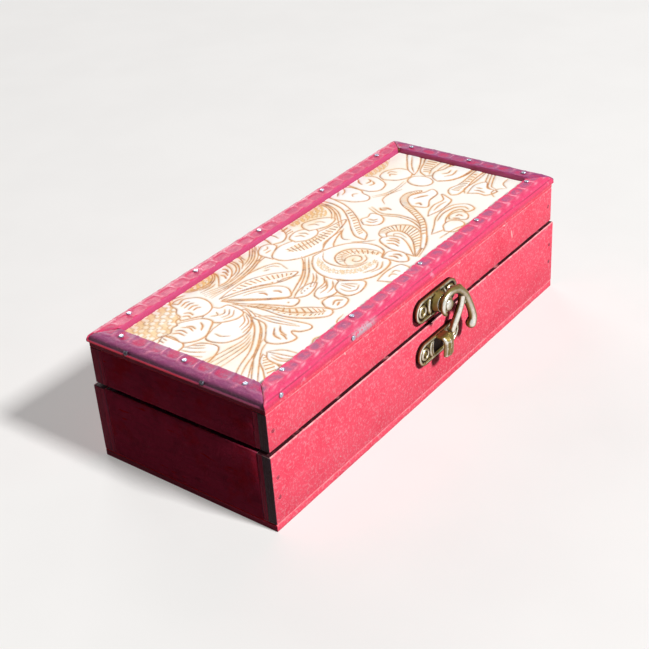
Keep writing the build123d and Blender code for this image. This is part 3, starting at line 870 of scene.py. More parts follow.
class Tooling:
    """Swivel-knife cuts and stamps on the panel, in millimetres. Each mesh point keeps its distance
    to the nearest cut's edge, how deep in a cut, how matted and how tinted it is, and its ribs."""

    def __init__(self, x, y):
        self.x, self.y = x, y
        self.gap = np.full(x.shape, FAR)
        self.mat = np.ones(x.shape)
        self.cut, self.tint, self.rib, self.ribbed = (np.zeros(x.shape) for _ in range(4))

    def near(self, rows, margin):
        """The part of the mesh round some points."""
        low, high = rows.min(0) - margin, rows.max(0) + margin
        return (slice(*np.searchsorted(self.y[:, 0], [low[1], high[1]])),
                slice(*np.searchsorted(self.x[0], [low[0], high[0]])))

    def inside(self, outline):
        """The part of the mesh round a closed outline, and which of its points are inside."""
        here = self.near(outline, 0.1)
        x, y = self.x[here], self.y[here]
        inside = np.zeros(x.shape, bool)
        for (ax, ay), (bx, by) in zip(outline, np.roll(outline, -1, 0)):
            if ay != by:
                inside ^= ((ay > y) != (by > y)) & (x < (bx - ax) * (y - ay) / (by - ay) + ax)
        return here, inside

    def line(self, rows, width=0.5, taper=0.8):
        """Cut one line; taper 1 starts and ends it thin, 0 keeps its width. Its dye fades over
        CUT_BLUR, so that a line finer than the mesh stays unbroken."""
        here = self.near(rows, LINE_REACH)
        x, y = self.x[here], self.y[here]
        if not x.size:
            return
        share = (np.arange(len(rows) - 1) + 0.5) / (len(rows) - 1)
        halves = width / 2 * (1 - taper + taper * np.sin(pi * share) ** 0.5)
        gap, cut = self.gap[here].copy(), self.cut[here].copy()
        for start, end, half in zip(rows[:-1], rows[1:], halves):
            step = end - start
            t = ((x - start[0]) * step[0] + (y - start[1]) * step[1]) / max(step @ step, 1e-9)
            t = np.clip(t, 0, 1)
            away = np.hypot(x - start[0] - t * step[0], y - start[1] - t * step[1])
            wide = hypot(half, CUT_BLUR)
            gap = np.minimum(gap, away - half)
            cut = np.maximum(cut, half / wide * bell(away, wide))
        self.gap[here], self.cut[here] = gap, cut

    def cuts(self, *curves, width=0.5):
        """Cut several lines, each through a few points."""
        for points in curves:
            self.line(spline(points), width)

    def bands(self, points, gaps, width=0.5):
        """Lines that run side by side along one curve."""
        rows = spline(points)
        for gap in gaps:
            self.line(beside(rows, gap), width)

    def clear(self, outline):
        """Smooth the ground inside a closed outline and take away what lies there."""
        here, inside = self.inside(outline)
        self.gap[here][inside] = FAR
        self.cut[here][inside] = 0.0
        self.mat[here][inside] = 0.0
        self.tint[here][inside] *= TINT_KEPT
        self.ribbed[here][inside] = 0.0

    def shape(self, points, width=0.58):
        """A closed outline from its root and back, over what lies under it."""
        rows = spline(list(points) + [points[0]])
        self.clear(rows)
        self.line(rows, width, OUTLINE_TAPER)

    def leaf(self, outline, *curves, width=0.5):
        """A closed outline with the cuts inside it."""
        self.shape(outline)
        self.cuts(*curves, width=width)

    def ribs(self, one, other, spacing):
        """Ribs across the strip between two curves that start side by side. Each place keeps how
        many ribs lie before it, so that the material can draw them finer than the mesh."""
        first, second = spline(one), spline(other)
        here, inside = self.inside(np.vstack([first, second[::-1]]))
        self.tint[here][inside] = np.maximum(self.tint[here][inside], RIB_TINT)
        self.ribbed[here][inside] = 1.0
        count = run_along(first)[-1] / spacing
        shares = np.linspace(0, 1, RIB_STEPS)
        sides = [place_on(rows, np.linspace(0, 1, len(rows)), shares) for rows in (first, second)]
        here = self.near(np.vstack(sides), 1.0)
        x, y, rib = self.x[here], self.y[here], self.rib[here]
        for number in range(RIB_STEPS - 1):
            gaps = []
            for start, end in zip(sides[0][number:number + 2], sides[1][number:number + 2]):
                way = end - start
                reach = max(np.hypot(*way), 0.2)
                gaps.append((way[0] * (y - start[1]) - way[1] * (x - start[0])) / reach)
            middle = (start + end) / 2
            close = np.hypot(x - middle[0], y - middle[1]) < 0.6 * reach + 0.6
            between = (gaps[0] * gaps[1] <= 0) & close
            span = np.where(gaps[0] == gaps[1], 1.0, gaps[0] - gaps[1])
            rib[between] = ((number + gaps[0] / span) / (RIB_STEPS - 1) * count)[between]

    def dots(self, points, spacing, width=0.6):
        """Round punch marks along a curve."""
        rows = spline(points)
        stops = run_along(rows)
        for dot in place_on(rows, stops, np.arange(spacing / 2, stops[-1], spacing)):
            self.line(np.array([dot, dot + PUNCH_LENGTH]), width, 0.0)

    def wash(self, centre, radius, strength):
        """Tint a soft round patch."""
        reach = np.hypot(self.x - centre[0], self.y - centre[1])
        self.tint = np.maximum(self.tint, strength * bell(reach, radius))

    def seeds(self, points, pitch, tint=0.62):
        """Stamp a patch of round seeds in rows inside a closed outline."""
        here, inside = self.inside(spline(list(points) + [points[0]]))
        x, y = self.x[here], self.y[here]
        # Rows that are offset by half a seed, each seed pushed a little out of its place
        row = np.round(y / (pitch * ROW_SHARE))
        column = np.round(x / pitch - 0.5 * (row % 2))
        wobble = 0.3 * pitch * np.sin(column * 3.1 + row * 5.3)
        gap_x = x - (column + 0.5 * (row % 2)) * pitch - wobble
        gap_y = y - row * pitch * ROW_SHARE + wobble
        reach = np.hypot(gap_x, gap_y) / pitch
        for layer, values in ((self.cut, 0.36 * bell(reach - 0.46, 0.12)), (self.gap, (0.5 - reach) * pitch),
                              (self.mat, 0.3), (self.tint, tint * rise(reach, 0.30, 0.20))):
            layer[here] = np.where(inside, values, layer[here])


def draw_flower(tool):
    """The large open flower in the upper left corner, its seeded centre half off the panel."""
    tool.leaf([(-92, 6), (-88, 8.5), (-84.5, 6), (-80, 3), (-79, -4), (-88, -7), (-95, -4)], [(-87.5, 6),
        (-86.6, 2.5), (-84, -2)], [(-85.3, 6), (-84, 3), (-82, 0)], [(-83.2, 5), (-82, 3), (-80.6, 1)],
        [(-89, 5), (-88.6, 1), (-87, -3)])
    tool.leaf([(-70.5, 6), (-76.6, 4.2), (-77.6, 0.6), (-75, -4.4), (-68.5, -6.6), (-62, -5), (-57, -1),
        (-54, 5), (-60, 6)], [(-72.8, 3), (-73, 0), (-71.2, -2.6)], [(-66, -3.6), (-60.5, -2.4), (-56.6, 2)],
        [(-65, -1.8), (-60.5, -0.6), (-57, 3)], [(-67, -5.2), (-61, -4), (-57, -0.4)])
    tool.leaf([(-67, 14.5), (-67, 8.6), (-64, 4.8), (-59.6, 2.8), (-55.4, 4.4), (-54.6, 12), (-58, 13.5),
        (-60, 16.5)], [(-63, 8.4), (-60, 7.6), (-57, 9.6)], [(-63.6, 6.8), (-60, 5.8), (-56.4, 7.8)],
        [(-62.2, 10.2), (-60, 9.6), (-57.8, 11.2)], [(-64.4, 12.4), (-62.4, 10.8), (-61, 12.6)])
    tool.leaf([(-92, 22), (-89, 17), (-84, 18), (-83.4, 13), (-84, 8.4), (-87.5, 6.8), (-95, 8)],
        [(-88.6, 17.6), (-89.4, 14)], [(-86.6, 18), (-87.2, 15)], [(-85, 17.4), (-85.4, 15.2)])
    tool.leaf([(-83, 18.5), (-82.6, 14), (-83.6, 9.4), (-80, 5.8), (-75.6, 5), (-70.6, 7.2), (-66.6, 9.8),
        (-67.2, 14.2), (-71, 17.5), (-76, 20)], [(-81, 16.6), (-79.4, 14.6), (-79.6, 11.6)], [(-79, 17),
        (-77.4, 15), (-77.8, 12)], [(-76, 16.4), (-74.6, 14), (-75.6, 11.2)], [(-74.4, 15.4), (-73.4, 13.6),
        (-74, 11.4)], [(-69.6, 12.8), (-71, 10.6), (-73.6, 9)], width=0.7)
    tool.leaf([(-72.5, 20), (-68, 17), (-64.6, 15), (-59.6, 16), (-56.6, 20), (-56.2, 25.4), (-60, 29.6),
        (-64, 29), (-66, 31)], [(-64.6, 26.8), (-61.8, 27.4), (-60.4, 26.6)], [(-65, 25), (-61.8, 25.4),
        (-60.2, 24.4)], [(-65, 23), (-62.2, 23.2), (-60.8, 22)], [(-64.4, 21), (-62.4, 21), (-61.4, 20)],
        [(-68, 22.6), (-66.6, 21), (-67, 18.8)], [(-70, 21.4), (-68.6, 20), (-69, 18.2)], width=0.7)
    tool.cuts([(-66, 31), (-63, 31.6), (-60, 30.6)], [(-66, 33), (-62, 33.2), (-58, 31.4)])
    seed_edge = [(-93, 20), (-88, 19.4), (-84, 18.6), (-81, 17.4), (-78, 19.2), (-75.6, 19), (-73.6, 21.4),
        (-70.6, 22), (-69.6, 24.8), (-67.2, 27), (-66.4, 30.4), (-63.6, 34), (-93, 36)]
    tool.seeds(seed_edge, 2.9)
    tool.line(spline(seed_edge[:-1]), 0.5, 0.2)


def draw_sweeps(tool):
    """Long lines that sweep from the fan into the lower left corner."""
    for index in range(4):
        tool.cuts([(-90.5, -5 - 2.6 * index), (-80, -7.2 - 2.0 * index), (-71.5 - index, -8.4 - 1.5 * index),
            (-65.4 - 1.6 * index, -7.4 - 1.4 * index)], width=0.42)
    tool.bands([(-54.6, 10), (-56, 2), (-60.5, -5), (-66.6, -10), (-75, -15), (-84, -18), (-92, -21.5)],
        [0.0, 2.1], 0.55)
    tool.bands([(-58, -4.6), (-62.6, -10), (-70, -15), (-80, -20), (-92, -27)], [0.3], 0.55)
    tool.bands([(-66, -15.5), (-73, -17.6), (-82, -23.6), (-92, -31)], [0.9, -1.3])
    tool.shape([(-74.4, -20.4), (-78.6, -22.4), (-82.4, -27), (-87.6, -33), (-80, -33), (-76, -27)])
    tool.ribs([(-76, -21.6), (-80, -25), (-84.6, -31)], [(-74.8, -22), (-77, -27), (-80.6, -32)], 2.0)
    tool.leaf([(-72.4, -20.6), (-76, -24), (-76.6, -30), (-74, -34), (-70, -33), (-71, -27)], [(-74.4, -24),
        (-74.6, -28), (-72.6, -32)], [(-73, -23), (-73, -28), (-71.4, -31)])
    tool.cuts([(-72, -20.6), (-68.4, -25), (-67.4, -31)], [(-62, -33), (-57, -29.8), (-52, -33)], [(-46, -33),
        (-43, -29.6), (-38, -28.8)])


def draw_fan(tool):
    """Leaves that spread from one point: lobed, beaded, plain, ribbed."""
    tool.leaf([(-57, -1), (-58, -8), (-62.8, -12.4), (-67.4, -16), (-66.6, -20.4), (-63, -23.6), (-59.6, -24),
        (-58.2, -21), (-56.8, -19.8), (-55.6, -22.6), (-52, -24.6), (-50, -22.4), (-51.4, -14), (-53, -6)],
        [(-63.4, -19.6), (-62.4, -16), (-58.6, -13)], [(-60.2, -19.8), (-59.2, -16.4), (-56.4, -14)],
        [(-62.4, -21.6), (-61, -19.4), (-60.6, -17.6)], width=0.75)
    tool.cuts([(-55.4, -1), (-55.8, -9), (-54.6, -15), (-53, -20)], [(-54.2, 1), (-54.2, -8), (-52.8, -18)])
    tool.shape([(-53.4, 11), (-51, 3), (-50.4, -2), (-50.2, -11.6), (-46.4, -20), (-41.4, -25),
        (-37.4, -23.2), (-39.4, -17), (-42.8, -11.8), (-46.2, -7.4), (-47.6, -1), (-49.4, 6)])
    middle = [(-52, 7.4), (-49, -2), (-47, -11), (-42.6, -18.6), (-39.4, -22)]
    tool.cuts(middle, width=0.55)
    tool.ribs([(-50.6, 4), (-49.6, -3), (-49.2, -11), (-45.6, -19), (-42, -23)], middle, 2.1)
    tool.ribs([(-49, 4), (-46.8, -3), (-44.6, -9), (-41, -15), (-38.6, -21)], middle, 2.1)
    tool.leaf([(-53.8, 16.4), (-48, 8), (-41.6, -1), (-37.6, -7), (-39.4, -9.4), (-43, -9.2), (-45, -5),
        (-48, 2), (-51.6, 9)], [(-53.2, 15), (-47.2, 6.4), (-41, -2.4)], width=0.85)
    tool.dots([(-42.4, -5.6), (-41, -7.4)], 1.8)
    tool.leaf([(-53, 16.6), (-46, 13.6), (-41, 11), (-35.4, 7), (-33.2, 3), (-33.8, -0.6), (-37.8, -4),
        (-42, 0.6), (-47.6, 8.6)], [(-42, 7.6), (-41, 6), (-41.4, 4)], [(-37.8, 4), (-36.8, 2.2),
        (-37.2, 0.6)], width=0.95)
    tool.cuts([(-46.6, 11.6), (-42.6, 9.8), (-39.4, 6.6)], width=0.36)
    tool.shape([(-53, 18), (-44, 18.8), (-36, 17.8), (-27.6, 12.8), (-21.4, 6), (-23, 4.6), (-28, 5),
        (-33, 7.4), (-38.4, 11.4), (-46, 15.6)])
    tool.ribs([(-47, 18), (-37, 17), (-28.4, 12), (-22.6, 6)], [(-46, 16.6), (-37, 13.2), (-30.4, 9),
        (-24.4, 5.4)], 2.2)
    tool.dots([(-34, 9), (-31.4, 7.4), (-28.6, 6.4)], 2.4, 0.75)
    tool.cuts([(-33, 7.2), (-27.6, 6), (-22.6, 2.6)], [(-44, 15), (-38, 11.8), (-33.6, 8.4)])
    tool.cuts([(-48, 20.4), (-38, 21.4), (-27, 20), (-20, 16.4), (-21.4, 10)])
    tool.cuts([(-25.6, 18), (-22.6, 16.6), (-21.6, 14)], [(-27.4, 17), (-25.4, 16)], width=0.4)


def draw_upper_scrolls(tool):
    """Flowing lines, a half flower and leaves along the upper edge."""
    tool.bands([(-53.6, 25.6), (-42, 22.4), (-30, 23.6), (-20, 27), (-14, 33)], [0.6, -0.7, -1.9])
    tool.bands([(-54, 21.4), (-42, 20.8), (-30, 22), (-22, 24), (-14, 24.6), (-9, 27)], [0.6, -0.5])
    tool.cuts([(-53, 27.4), (-48, 26.6), (-45, 27)], [(-52, 28.8), (-48, 27.8), (-45.6, 28.4)])
    tool.leaf([(-45.6, 24.6), (-41, 24.2), (-36, 26.2), (-32.4, 30), (-31.6, 36), (-38, 36), (-39.4, 31),
        (-41.8, 28)], [(-39.6, 26), (-38.4, 28), (-38.8, 29.4)], [(-37.6, 27), (-36.2, 29.2), (-36.6, 30.6)],
        [(-35.4, 28.4), (-34.2, 30.6), (-34.6, 32)], width=0.85)
    tool.seeds([(-56.6, 36), (-55, 32.4), (-51, 29.8), (-46, 29.2), (-41.4, 31.4), (-39.4, 36)], 1.6, 1.0)
    tool.bands([(-57, 35), (-55, 31.6), (-50, 29), (-45, 28.6), (-40.6, 31), (-38, 35)], [0.0, 0.9], 0.55)
    tool.bands([(-27.6, 35), (-28.6, 29.4), (-33, 25.2), (-41, 23.2)], [0.0, -1.2], 0.6)
    tool.bands([(-22.6, 35), (-26, 29), (-30.6, 25.6)], [0.0], 0.55)
    tool.cuts([(-24.4, 34.4), (-24, 31.4)], [(-22.6, 34), (-24.4, 29)], [(-26, 31), (-27, 27.6)], width=0.4)
    tool.bands([(-28, 24.6), (-22, 26.6), (-17, 30), (-12, 34.4)], [0.0, 1.1, 2.2])
    tool.leaf([(-18, 20), (-14, 23), (-8.6, 25.6), (-9, 29.4), (-13, 30.6), (-18, 27)], [(-14.6, 27.6),
        (-12.4, 27.4), (-11, 28.6)], [(-15.6, 25.6), (-12.6, 25.4)])
    tool.leaf([(-8.6, 28), (-7, 32), (-5.6, 36), (4, 36), (3, 31), (0, 27.4), (-4.4, 26)], [(-3, 29),
        (-2.4, 32), (-3, 34.6)])
    tool.ribs([(1.4, 27.4), (2.2, 30), (2.6, 34.6)], [(5, 27), (6, 30), (7, 34.6)], 2.0)


def draw_spiral(tool):
    """The large spiral in the middle with its beaded band, its stem and the leaves beside it."""
    tool.shape([(-38, -6), (-33.6, -4.2), (-28, -4), (-24, -6), (-28.4, -8.4), (-34, -9)])
    tool.dots([(-34.6, -6.4), (-30, -6.2), (-26.4, -6.4)], 1.9)
    tool.leaf([(-33.8, -14.6), (-32.4, -11.4), (-28.6, -9.6), (-23, -9), (-18.4, -6), (-18.6, -12),
        (-22.6, -15.6), (-28, -17.4)], [(-30, -12.4), (-25.4, -12), (-20.6, -8.4)], [(-28.6, -14.6),
        (-24, -13.8), (-20, -10.8)], [(-27.4, -10.6), (-23.6, -10.4), (-20.6, -7.4)], width=0.55)
    tool.leaf([(-19, -13), (-23.6, -14.6), (-26.2, -18.6), (-26, -22.8), (-20.6, -24.6), (-14, -21.6)],
        [(-23.6, -17), (-23.6, -20.4), (-21, -22.6), (-17.6, -21.4)], [(-21, -15.4), (-21.4, -20.4)],
        [(-19.8, -15), (-19.6, -21)], [(-19.4, -16), (-17.4, -20.4)])
    tool.leaf([(-37.2, -20), (-34.6, -16.8), (-30, -17.4), (-27.8, -20.6), (-28.4, -24.2), (-33, -25.6),
        (-36.6, -24)], [(-34.6, -21.6), (-31.6, -20.6), (-29.8, -22.6)], [(-34, -23.2), (-31.6, -22.4)],
        width=0.8)
    tool.leaf([(-11.4, -25.6), (-6, -24.6), (0, -24.8), (4, -26.6), (2, -32), (-8, -32)], [(-6.6, -27.6),
        (-4.4, -27.4), (-3.6, -29.4)], [(-3.6, -26.8), (-1.4, -27), (-1, -29)])
    tool.shape([(-8, 7.5), (-13.1, 4.2), (-17.3, -0.9), (-19, -7.6), (-17.7, -13.5), (-14.8, -18.5),
        (-9.7, -22.3), (-3.8, -23.2), (2, -22.3), (4.8, -20), (5, -16.6), (9.6, -14.4), (11.8, -10),
        (11.4, -4.6), (9, 0.4), (4, 4.4), (-2, 6.6)], 0.65)
    tool.seeds([(-7.6, 5.4), (-12.8, 2.2), (-15.6, -3.2), (-15, -9.2), (-11.8, -14.2), (-7, -16.8),
        (0, -17.4), (2, -15.4), (-2, -14.8), (-6.8, -13.6), (-10, -10.8), (-12, -7.4), (-12.2, -3),
        (-10, 1.2)], 1.5, 0.45)
    tool.cuts([(-3.4, 5.9), (-8, 2.5), (-9.9, -2.5), (-9.1, -8.4), (-6.6, -12.4), (-1.3, -14)])
    one = [(-7, -4.8), (-4.8, -1.8), (-1.8, -0.5), (2, -1.2), (5.2, -4.4), (7.2, -9), (7.8, -14.4)]
    other = [(-4.4, -6.4), (-3.2, -4.8), (-1.4, -4.2), (0.8, -5), (2.8, -7.6), (4.4, -11), (5.2, -14.6)]
    tool.ribs(one, other, 2.0)
    tool.dots([(-5.6, -5.6), (-3.8, -3.4), (-1.6, -2.4), (1.4, -3.2), (4, -6), (5.8, -10), (6.6, -14)], 1.3)
    tool.cuts([(-1.4, -13.9), (-5.8, -11.8), (-8, -7.6), (-7.6, -4.2), (-5.5, -1.3), (-2.2, 0.2), (2, -0.4),
        (5.4, -3.4), (7.5, -7.6), (8.3, -11.8), (7.4, -15)], width=0.65)
    tool.cuts([(-7.4, -8.6), (-5.6, -6), (-2.6, -4.8), (0.4, -6), (1.2, -8.8), (-0.6, -10.8), (-3, -10.2),
        (-3.2, -8.2), (-1.8, -7.6)], [(-5.4, -10.6), (-3, -12.4), (0.8, -12.2), (3, -9.8)])
    tool.cuts([(-9, -17.6), (-3.8, -19.4), (0.8, -17.6)], [(-7, -19.8), (-2.4, -21), (2.2, -18.8)])
    tool.bands([(-38, -4), (-30, -1), (-22.6, 2), (-15, 7), (-10.6, 11.4)], [0.0], 0.7)
    tool.bands([(-33, -5.4), (-26, -2.6), (-20, 0.6), (-15, 4.4), (-9.6, 8.6)], [0.0, 1.5], 0.6)
    tool.bands([(-28, -6), (-22.6, -3.6), (-19, -0.6)], [0.0, -1.2])


def draw_middle(tool):
    """Leaves above and to the right of the spiral."""
    tool.shape([(-17.6, 17.4), (-16.6, 21.6), (-9, 24.4), (-1, 22.4), (6, 20.4), (12, 17.8), (24.6, 15),
        (13, 11.4), (3.7, 10.4), (-1.7, 7.6), (-5.5, 8.4), (-11.4, 10.8), (-16, 14.4)])
    tool.ribs([(-9.7, 20.6), (1.2, 18.5), (9.6, 16.6), (22, 15.2)], [(-9.7, 16.8), (-4.7, 13), (3.7, 12),
        (13, 12.6), (22, 14.6)], 1.9)
    tool.cuts([(-10.4, 18.6), (-4, 16.6), (4, 15), (13, 14.4)], width=0.36)
    tool.shape([(-1.7, 7.5), (0.4, 3.8), (4.6, 6.7), (9.6, 8.8), (15.5, 10.6), (9, 10.8), (3, 9.6)])
    tool.leaf([(-2, 21), (-1, 25), (4, 26.6), (8.4, 25), (11.4, 21), (8, 17.4), (2, 17.6)], [(1.6, 24),
        (3.4, 22.6), (3.4, 20.6)], [(4.4, 24.4), (6, 22.4), (5.8, 20.4)])
    tool.leaf([(8.6, 22), (9.4, 26), (12.4, 28.4), (17, 27), (21, 24), (23, 19.4), (16, 18)], [(12.4, 25.6),
        (14.4, 24), (14.6, 21.6)], [(16, 24.6), (17.6, 22.8), (17.8, 20.8)])
    tool.seeds([(9, 37), (8.6, 30), (12.4, 29.4), (18, 28), (23, 24.4), (27.6, 28), (29.6, 37)], 1.7, 1.0)
    tool.bands([(30.4, 36), (30, 29.6), (27, 24.4), (22, 20.4)], [0.0, 1.3], 0.55)
    tool.cuts([(10.6, 3), (10, 6), (13, 9), (17.4, 11)], [(9.4, 1.4), (12.4, -3), (15.6, -6)], width=0.6)
    tool.shape([(13.6, -2.4), (14.4, 3), (18.6, 8), (25, 14), (31, 21), (33.6, 28), (34, 36), (37.6, 36),
        (36.6, 27), (33.6, 19.6), (28, 11.6), (21.6, 5), (18.4, 0)])
    tool.ribs([(15.6, 2), (19.6, 7), (26, 13.4), (31.6, 20.6)], [(18, 1.4), (22, 6), (28, 12.4), (33.4, 20)],
        2.2)
    tool.bands([(31.6, 36), (31.8, 29), (28.6, 22), (23, 16.4), (18, 12)], [0.0, -1.2])
    tool.leaf([(24.4, 6), (25.4, 2.4), (28.4, 0.2), (32.6, 1.4), (35, 5), (34.4, 9), (31, 8.4), (27.6, 9.4)],
        [(27.4, 6.4), (27.6, 4), (29.6, 2.6)], [(29.4, 6.8), (29.8, 4.6), (31.4, 3.6)], width=0.7)
    tool.leaf([(12, -27), (12.4, -19), (12.6, -15), (15.4, -8.6), (18.6, -7.2), (21.6, -9.4), (22.4, -14),
        (19, -19.6)], [(15.6, -12), (16.6, -14.4), (15.8, -17)], [(17.6, -10.4), (18.8, -13.4), (18, -16)],
        [(19.6, -10.4), (20.4, -13), (19.6, -15)], width=0.8)
    tool.leaf([(5, -16.8), (5, -21), (5.4, -24.6), (8, -27), (12, -23), (12.2, -18.6), (9.6, -16)],
        [(7, -18.6), (8, -20.4), (7.4, -22.6)], [(9.2, -19), (10.2, -21), (9.4, -23)], width=0.85)
    outer = [(18.8, -7), (20.6, -4.4), (25, -3), (30, -5.4), (33.2, -11), (31.4, -17), (26, -22.4), (19, -26)]
    inner = [(20.4, -8.4), (22.4, -6.8), (25, -7.4), (27, -10.4), (26, -14.8), (22.4, -19.6), (17, -24)]
    tool.shape(outer + [(12.4, -27.6)] + inner[::-1])
    tool.ribs(outer[1:], inner[1:], 2.1)
    tool.cuts([(21.8, -11), (24, -9.6), (25, -12), (23.4, -16)], width=0.4)


def draw_right(tool):
    """Stems, petals and a half flower on the right."""
    tool.bands([(12, -27.4), (22, -24.4), (31, -18.6), (36.4, -10.6), (37.4, -3), (35.2, 5), (38, 12.6)],
        [0.0, -1.5], 0.62)
    tool.cuts([(40.4, 8.6), (39.4, 7), (40.4, 5.4)], [(41, 7.6), (41.8, 6), (41.4, 3.6)], width=1.0)
    tool.leaf([(38.6, 26), (39.8, 21.6), (43.6, 17.6), (47.2, 18.8), (48.6, 23), (50.6, 26), (50, 33),
        (42, 36), (37.6, 32)], [(43.6, 25), (45.4, 26.4), (47, 25)], [(42.6, 30), (46, 31), (48.6, 34)],
        [(40.6, 31), (44, 33)])
    tool.leaf([(51, 27), (51.6, 21.6), (55, 18.4), (60.6, 19.6), (63.6, 24), (64.6, 29), (60, 36), (53, 36)],
        [(56.4, 25), (58.8, 24.4), (60.6, 26.4)], [(57.4, 27.4), (60.2, 27.2), (61.4, 29)], [(55.4, 28.4),
        (56.6, 31), (59, 33)], width=0.7)
    tool.leaf([(64.2, 23), (66.6, 26.6), (71.6, 27.4), (77, 24), (77.6, 18), (73, 14.4), (67, 17.4)],
        [(68.6, 22.6), (70.4, 23.6), (71.4, 21)], [(70.4, 25), (72.6, 25), (73.4, 22.4)], width=0.6)
    tool.seeds([(60, 37), (64, 30.6), (70, 29), (78, 30), (88, 37)], 1.6, 0.75)
    tool.bands([(47.4, 17), (53, 13.4), (60, 12.4), (67, 13)], [0.0, 1.2], 0.4)
    tool.cuts([(44.4, 9), (48, 12.4), (53, 12.8), (60, 10.6)])
    tool.leaf([(75, 14), (78, 19), (84, 23.6), (93, 29), (95, 24), (88, 19), (80.4, 15.4)], [(77, 15.4),
        (82, 19.8), (91, 25.6)])
    tool.shape([(76.4, 9), (79.4, 13.6), (86, 16.4), (94, 18.6), (95, 8), (88, 4.6), (80.4, 4.4)])
    tool.ribs([(79, 12), (84.6, 15), (91.6, 17)], [(80, 9), (85.4, 11), (92, 11.6)], 2.2)
    tool.cuts([(78.6, 8.4), (84, 10.4), (92, 10.6)], [(80, 6.4), (86, 7.6), (92, 7)])
    turn = np.linspace(0, 2 * pi, 14)[:-1]
    tool.shape([(71 + 4.8 * cos(a), 8.2 + 5.8 * sin(a)) for a in turn])
    tool.leaf([(74.6, 2), (77, 5.6), (82, 7.6), (86.6, 5.6), (90, 5), (95, 1), (94, -5), (84, -5),
        (78, -2.6)], [(82, 3.6), (84, 2), (87, 2.4)], [(80, 1.4), (83.6, -0.6), (88, 0)], width=0.6)
    tool.bands([(74.4, 1.4), (78.4, -3), (85, -5.6), (93, -6.4)], [0.0], 0.9)
    tool.shape([(65.6, -11), (67.4, -8.4), (71, -7), (78, -8.4), (93, -7.6), (94, -11), (84, -11.4),
        (74, -13), (68, -13)])
    tool.ribs([(69.4, -8.4), (77, -9), (90, -8.6)], [(70, -11.8), (78, -11.4), (90, -10.4)], 2.0)
    tool.leaf([(48, 1), (51.6, 4.4), (57.6, 3.6), (62, 0.6), (66.6, -1), (64, -5), (57, -5.6), (50.6, -8)],
        [(51.2, -2.4), (52.4, -3.4), (51.4, -5)], [(55, 1), (58, -0.6), (60.4, -2.4)], width=0.9)
    tool.leaf([(44, -13), (48.4, -10.8), (54, -9.6), (60, -10.4), (64.4, -7), (63, -11), (60.6, -14),
        (52, -14.6)], [(49.4, -12.4), (54.6, -11.8), (59, -12.4)])
    tool.leaf([(31, -23), (37.6, -20), (44.6, -16.6), (52, -15.4), (58.4, -17), (61.6, -21.4), (59.6, -26),
        (55.4, -25), (56, -21.6), (52, -19.6), (45, -21), (38, -25)], [(42, -18.8), (49, -17.2), (56, -18.4),
        (58.6, -21.6), (57.6, -24.4)], width=0.7)
    tool.leaf([(46, -22), (49, -20.4), (52.6, -21.2), (54.6, -24), (53, -27), (49, -28)], [(49.6, -23),
        (51.4, -23.6), (51, -25.6)], [(47.6, -23), (48.6, -25.4)], width=0.8)
    tool.leaf([(36, -26), (40, -23), (44.6, -23), (47, -26.6), (45, -30), (38, -30)], [(30, -27.6),
        (38, -28.4), (47, -31)])
    tool.bands([(70, -15), (74, -12.6), (82, -13), (93, -12.4)], [0.0], 0.6)
    tool.bands([(93, -13.6), (84, -17), (79, -19.6), (77, -23.6)], [0.0, 1.5, 3.0])
    tool.leaf([(70.4, -16), (72.6, -20), (72.8, -24), (78.4, -26), (79, -21), (84, -17.6), (79, -14.6)],
        [(74.4, -17), (75, -19.4), (74.4, -22)], [(77, -16.6), (77.4, -19)], width=0.7)
    tool.cuts([(73, -27.6), (76, -24.6), (80, -25), (82.6, -28)], [(83, -28), (86, -24.6), (91, -24)])
    stem = [(19, -25.4), (28, -20), (37.6, -12.6), (43.6, -4.6), (47.4, 2), (52, 6), (57.6, 6.6), (62.8, 3.4)]
    other = [(20, -26.8), (30, -21.4), (40, -14), (46, -6), (49.4, -0.6), (53, 3), (57.4, 4), (62, 2)]
    tool.shape(stem + other[::-1])
    tool.ribs(stem[1:], other[1:], 1.6)


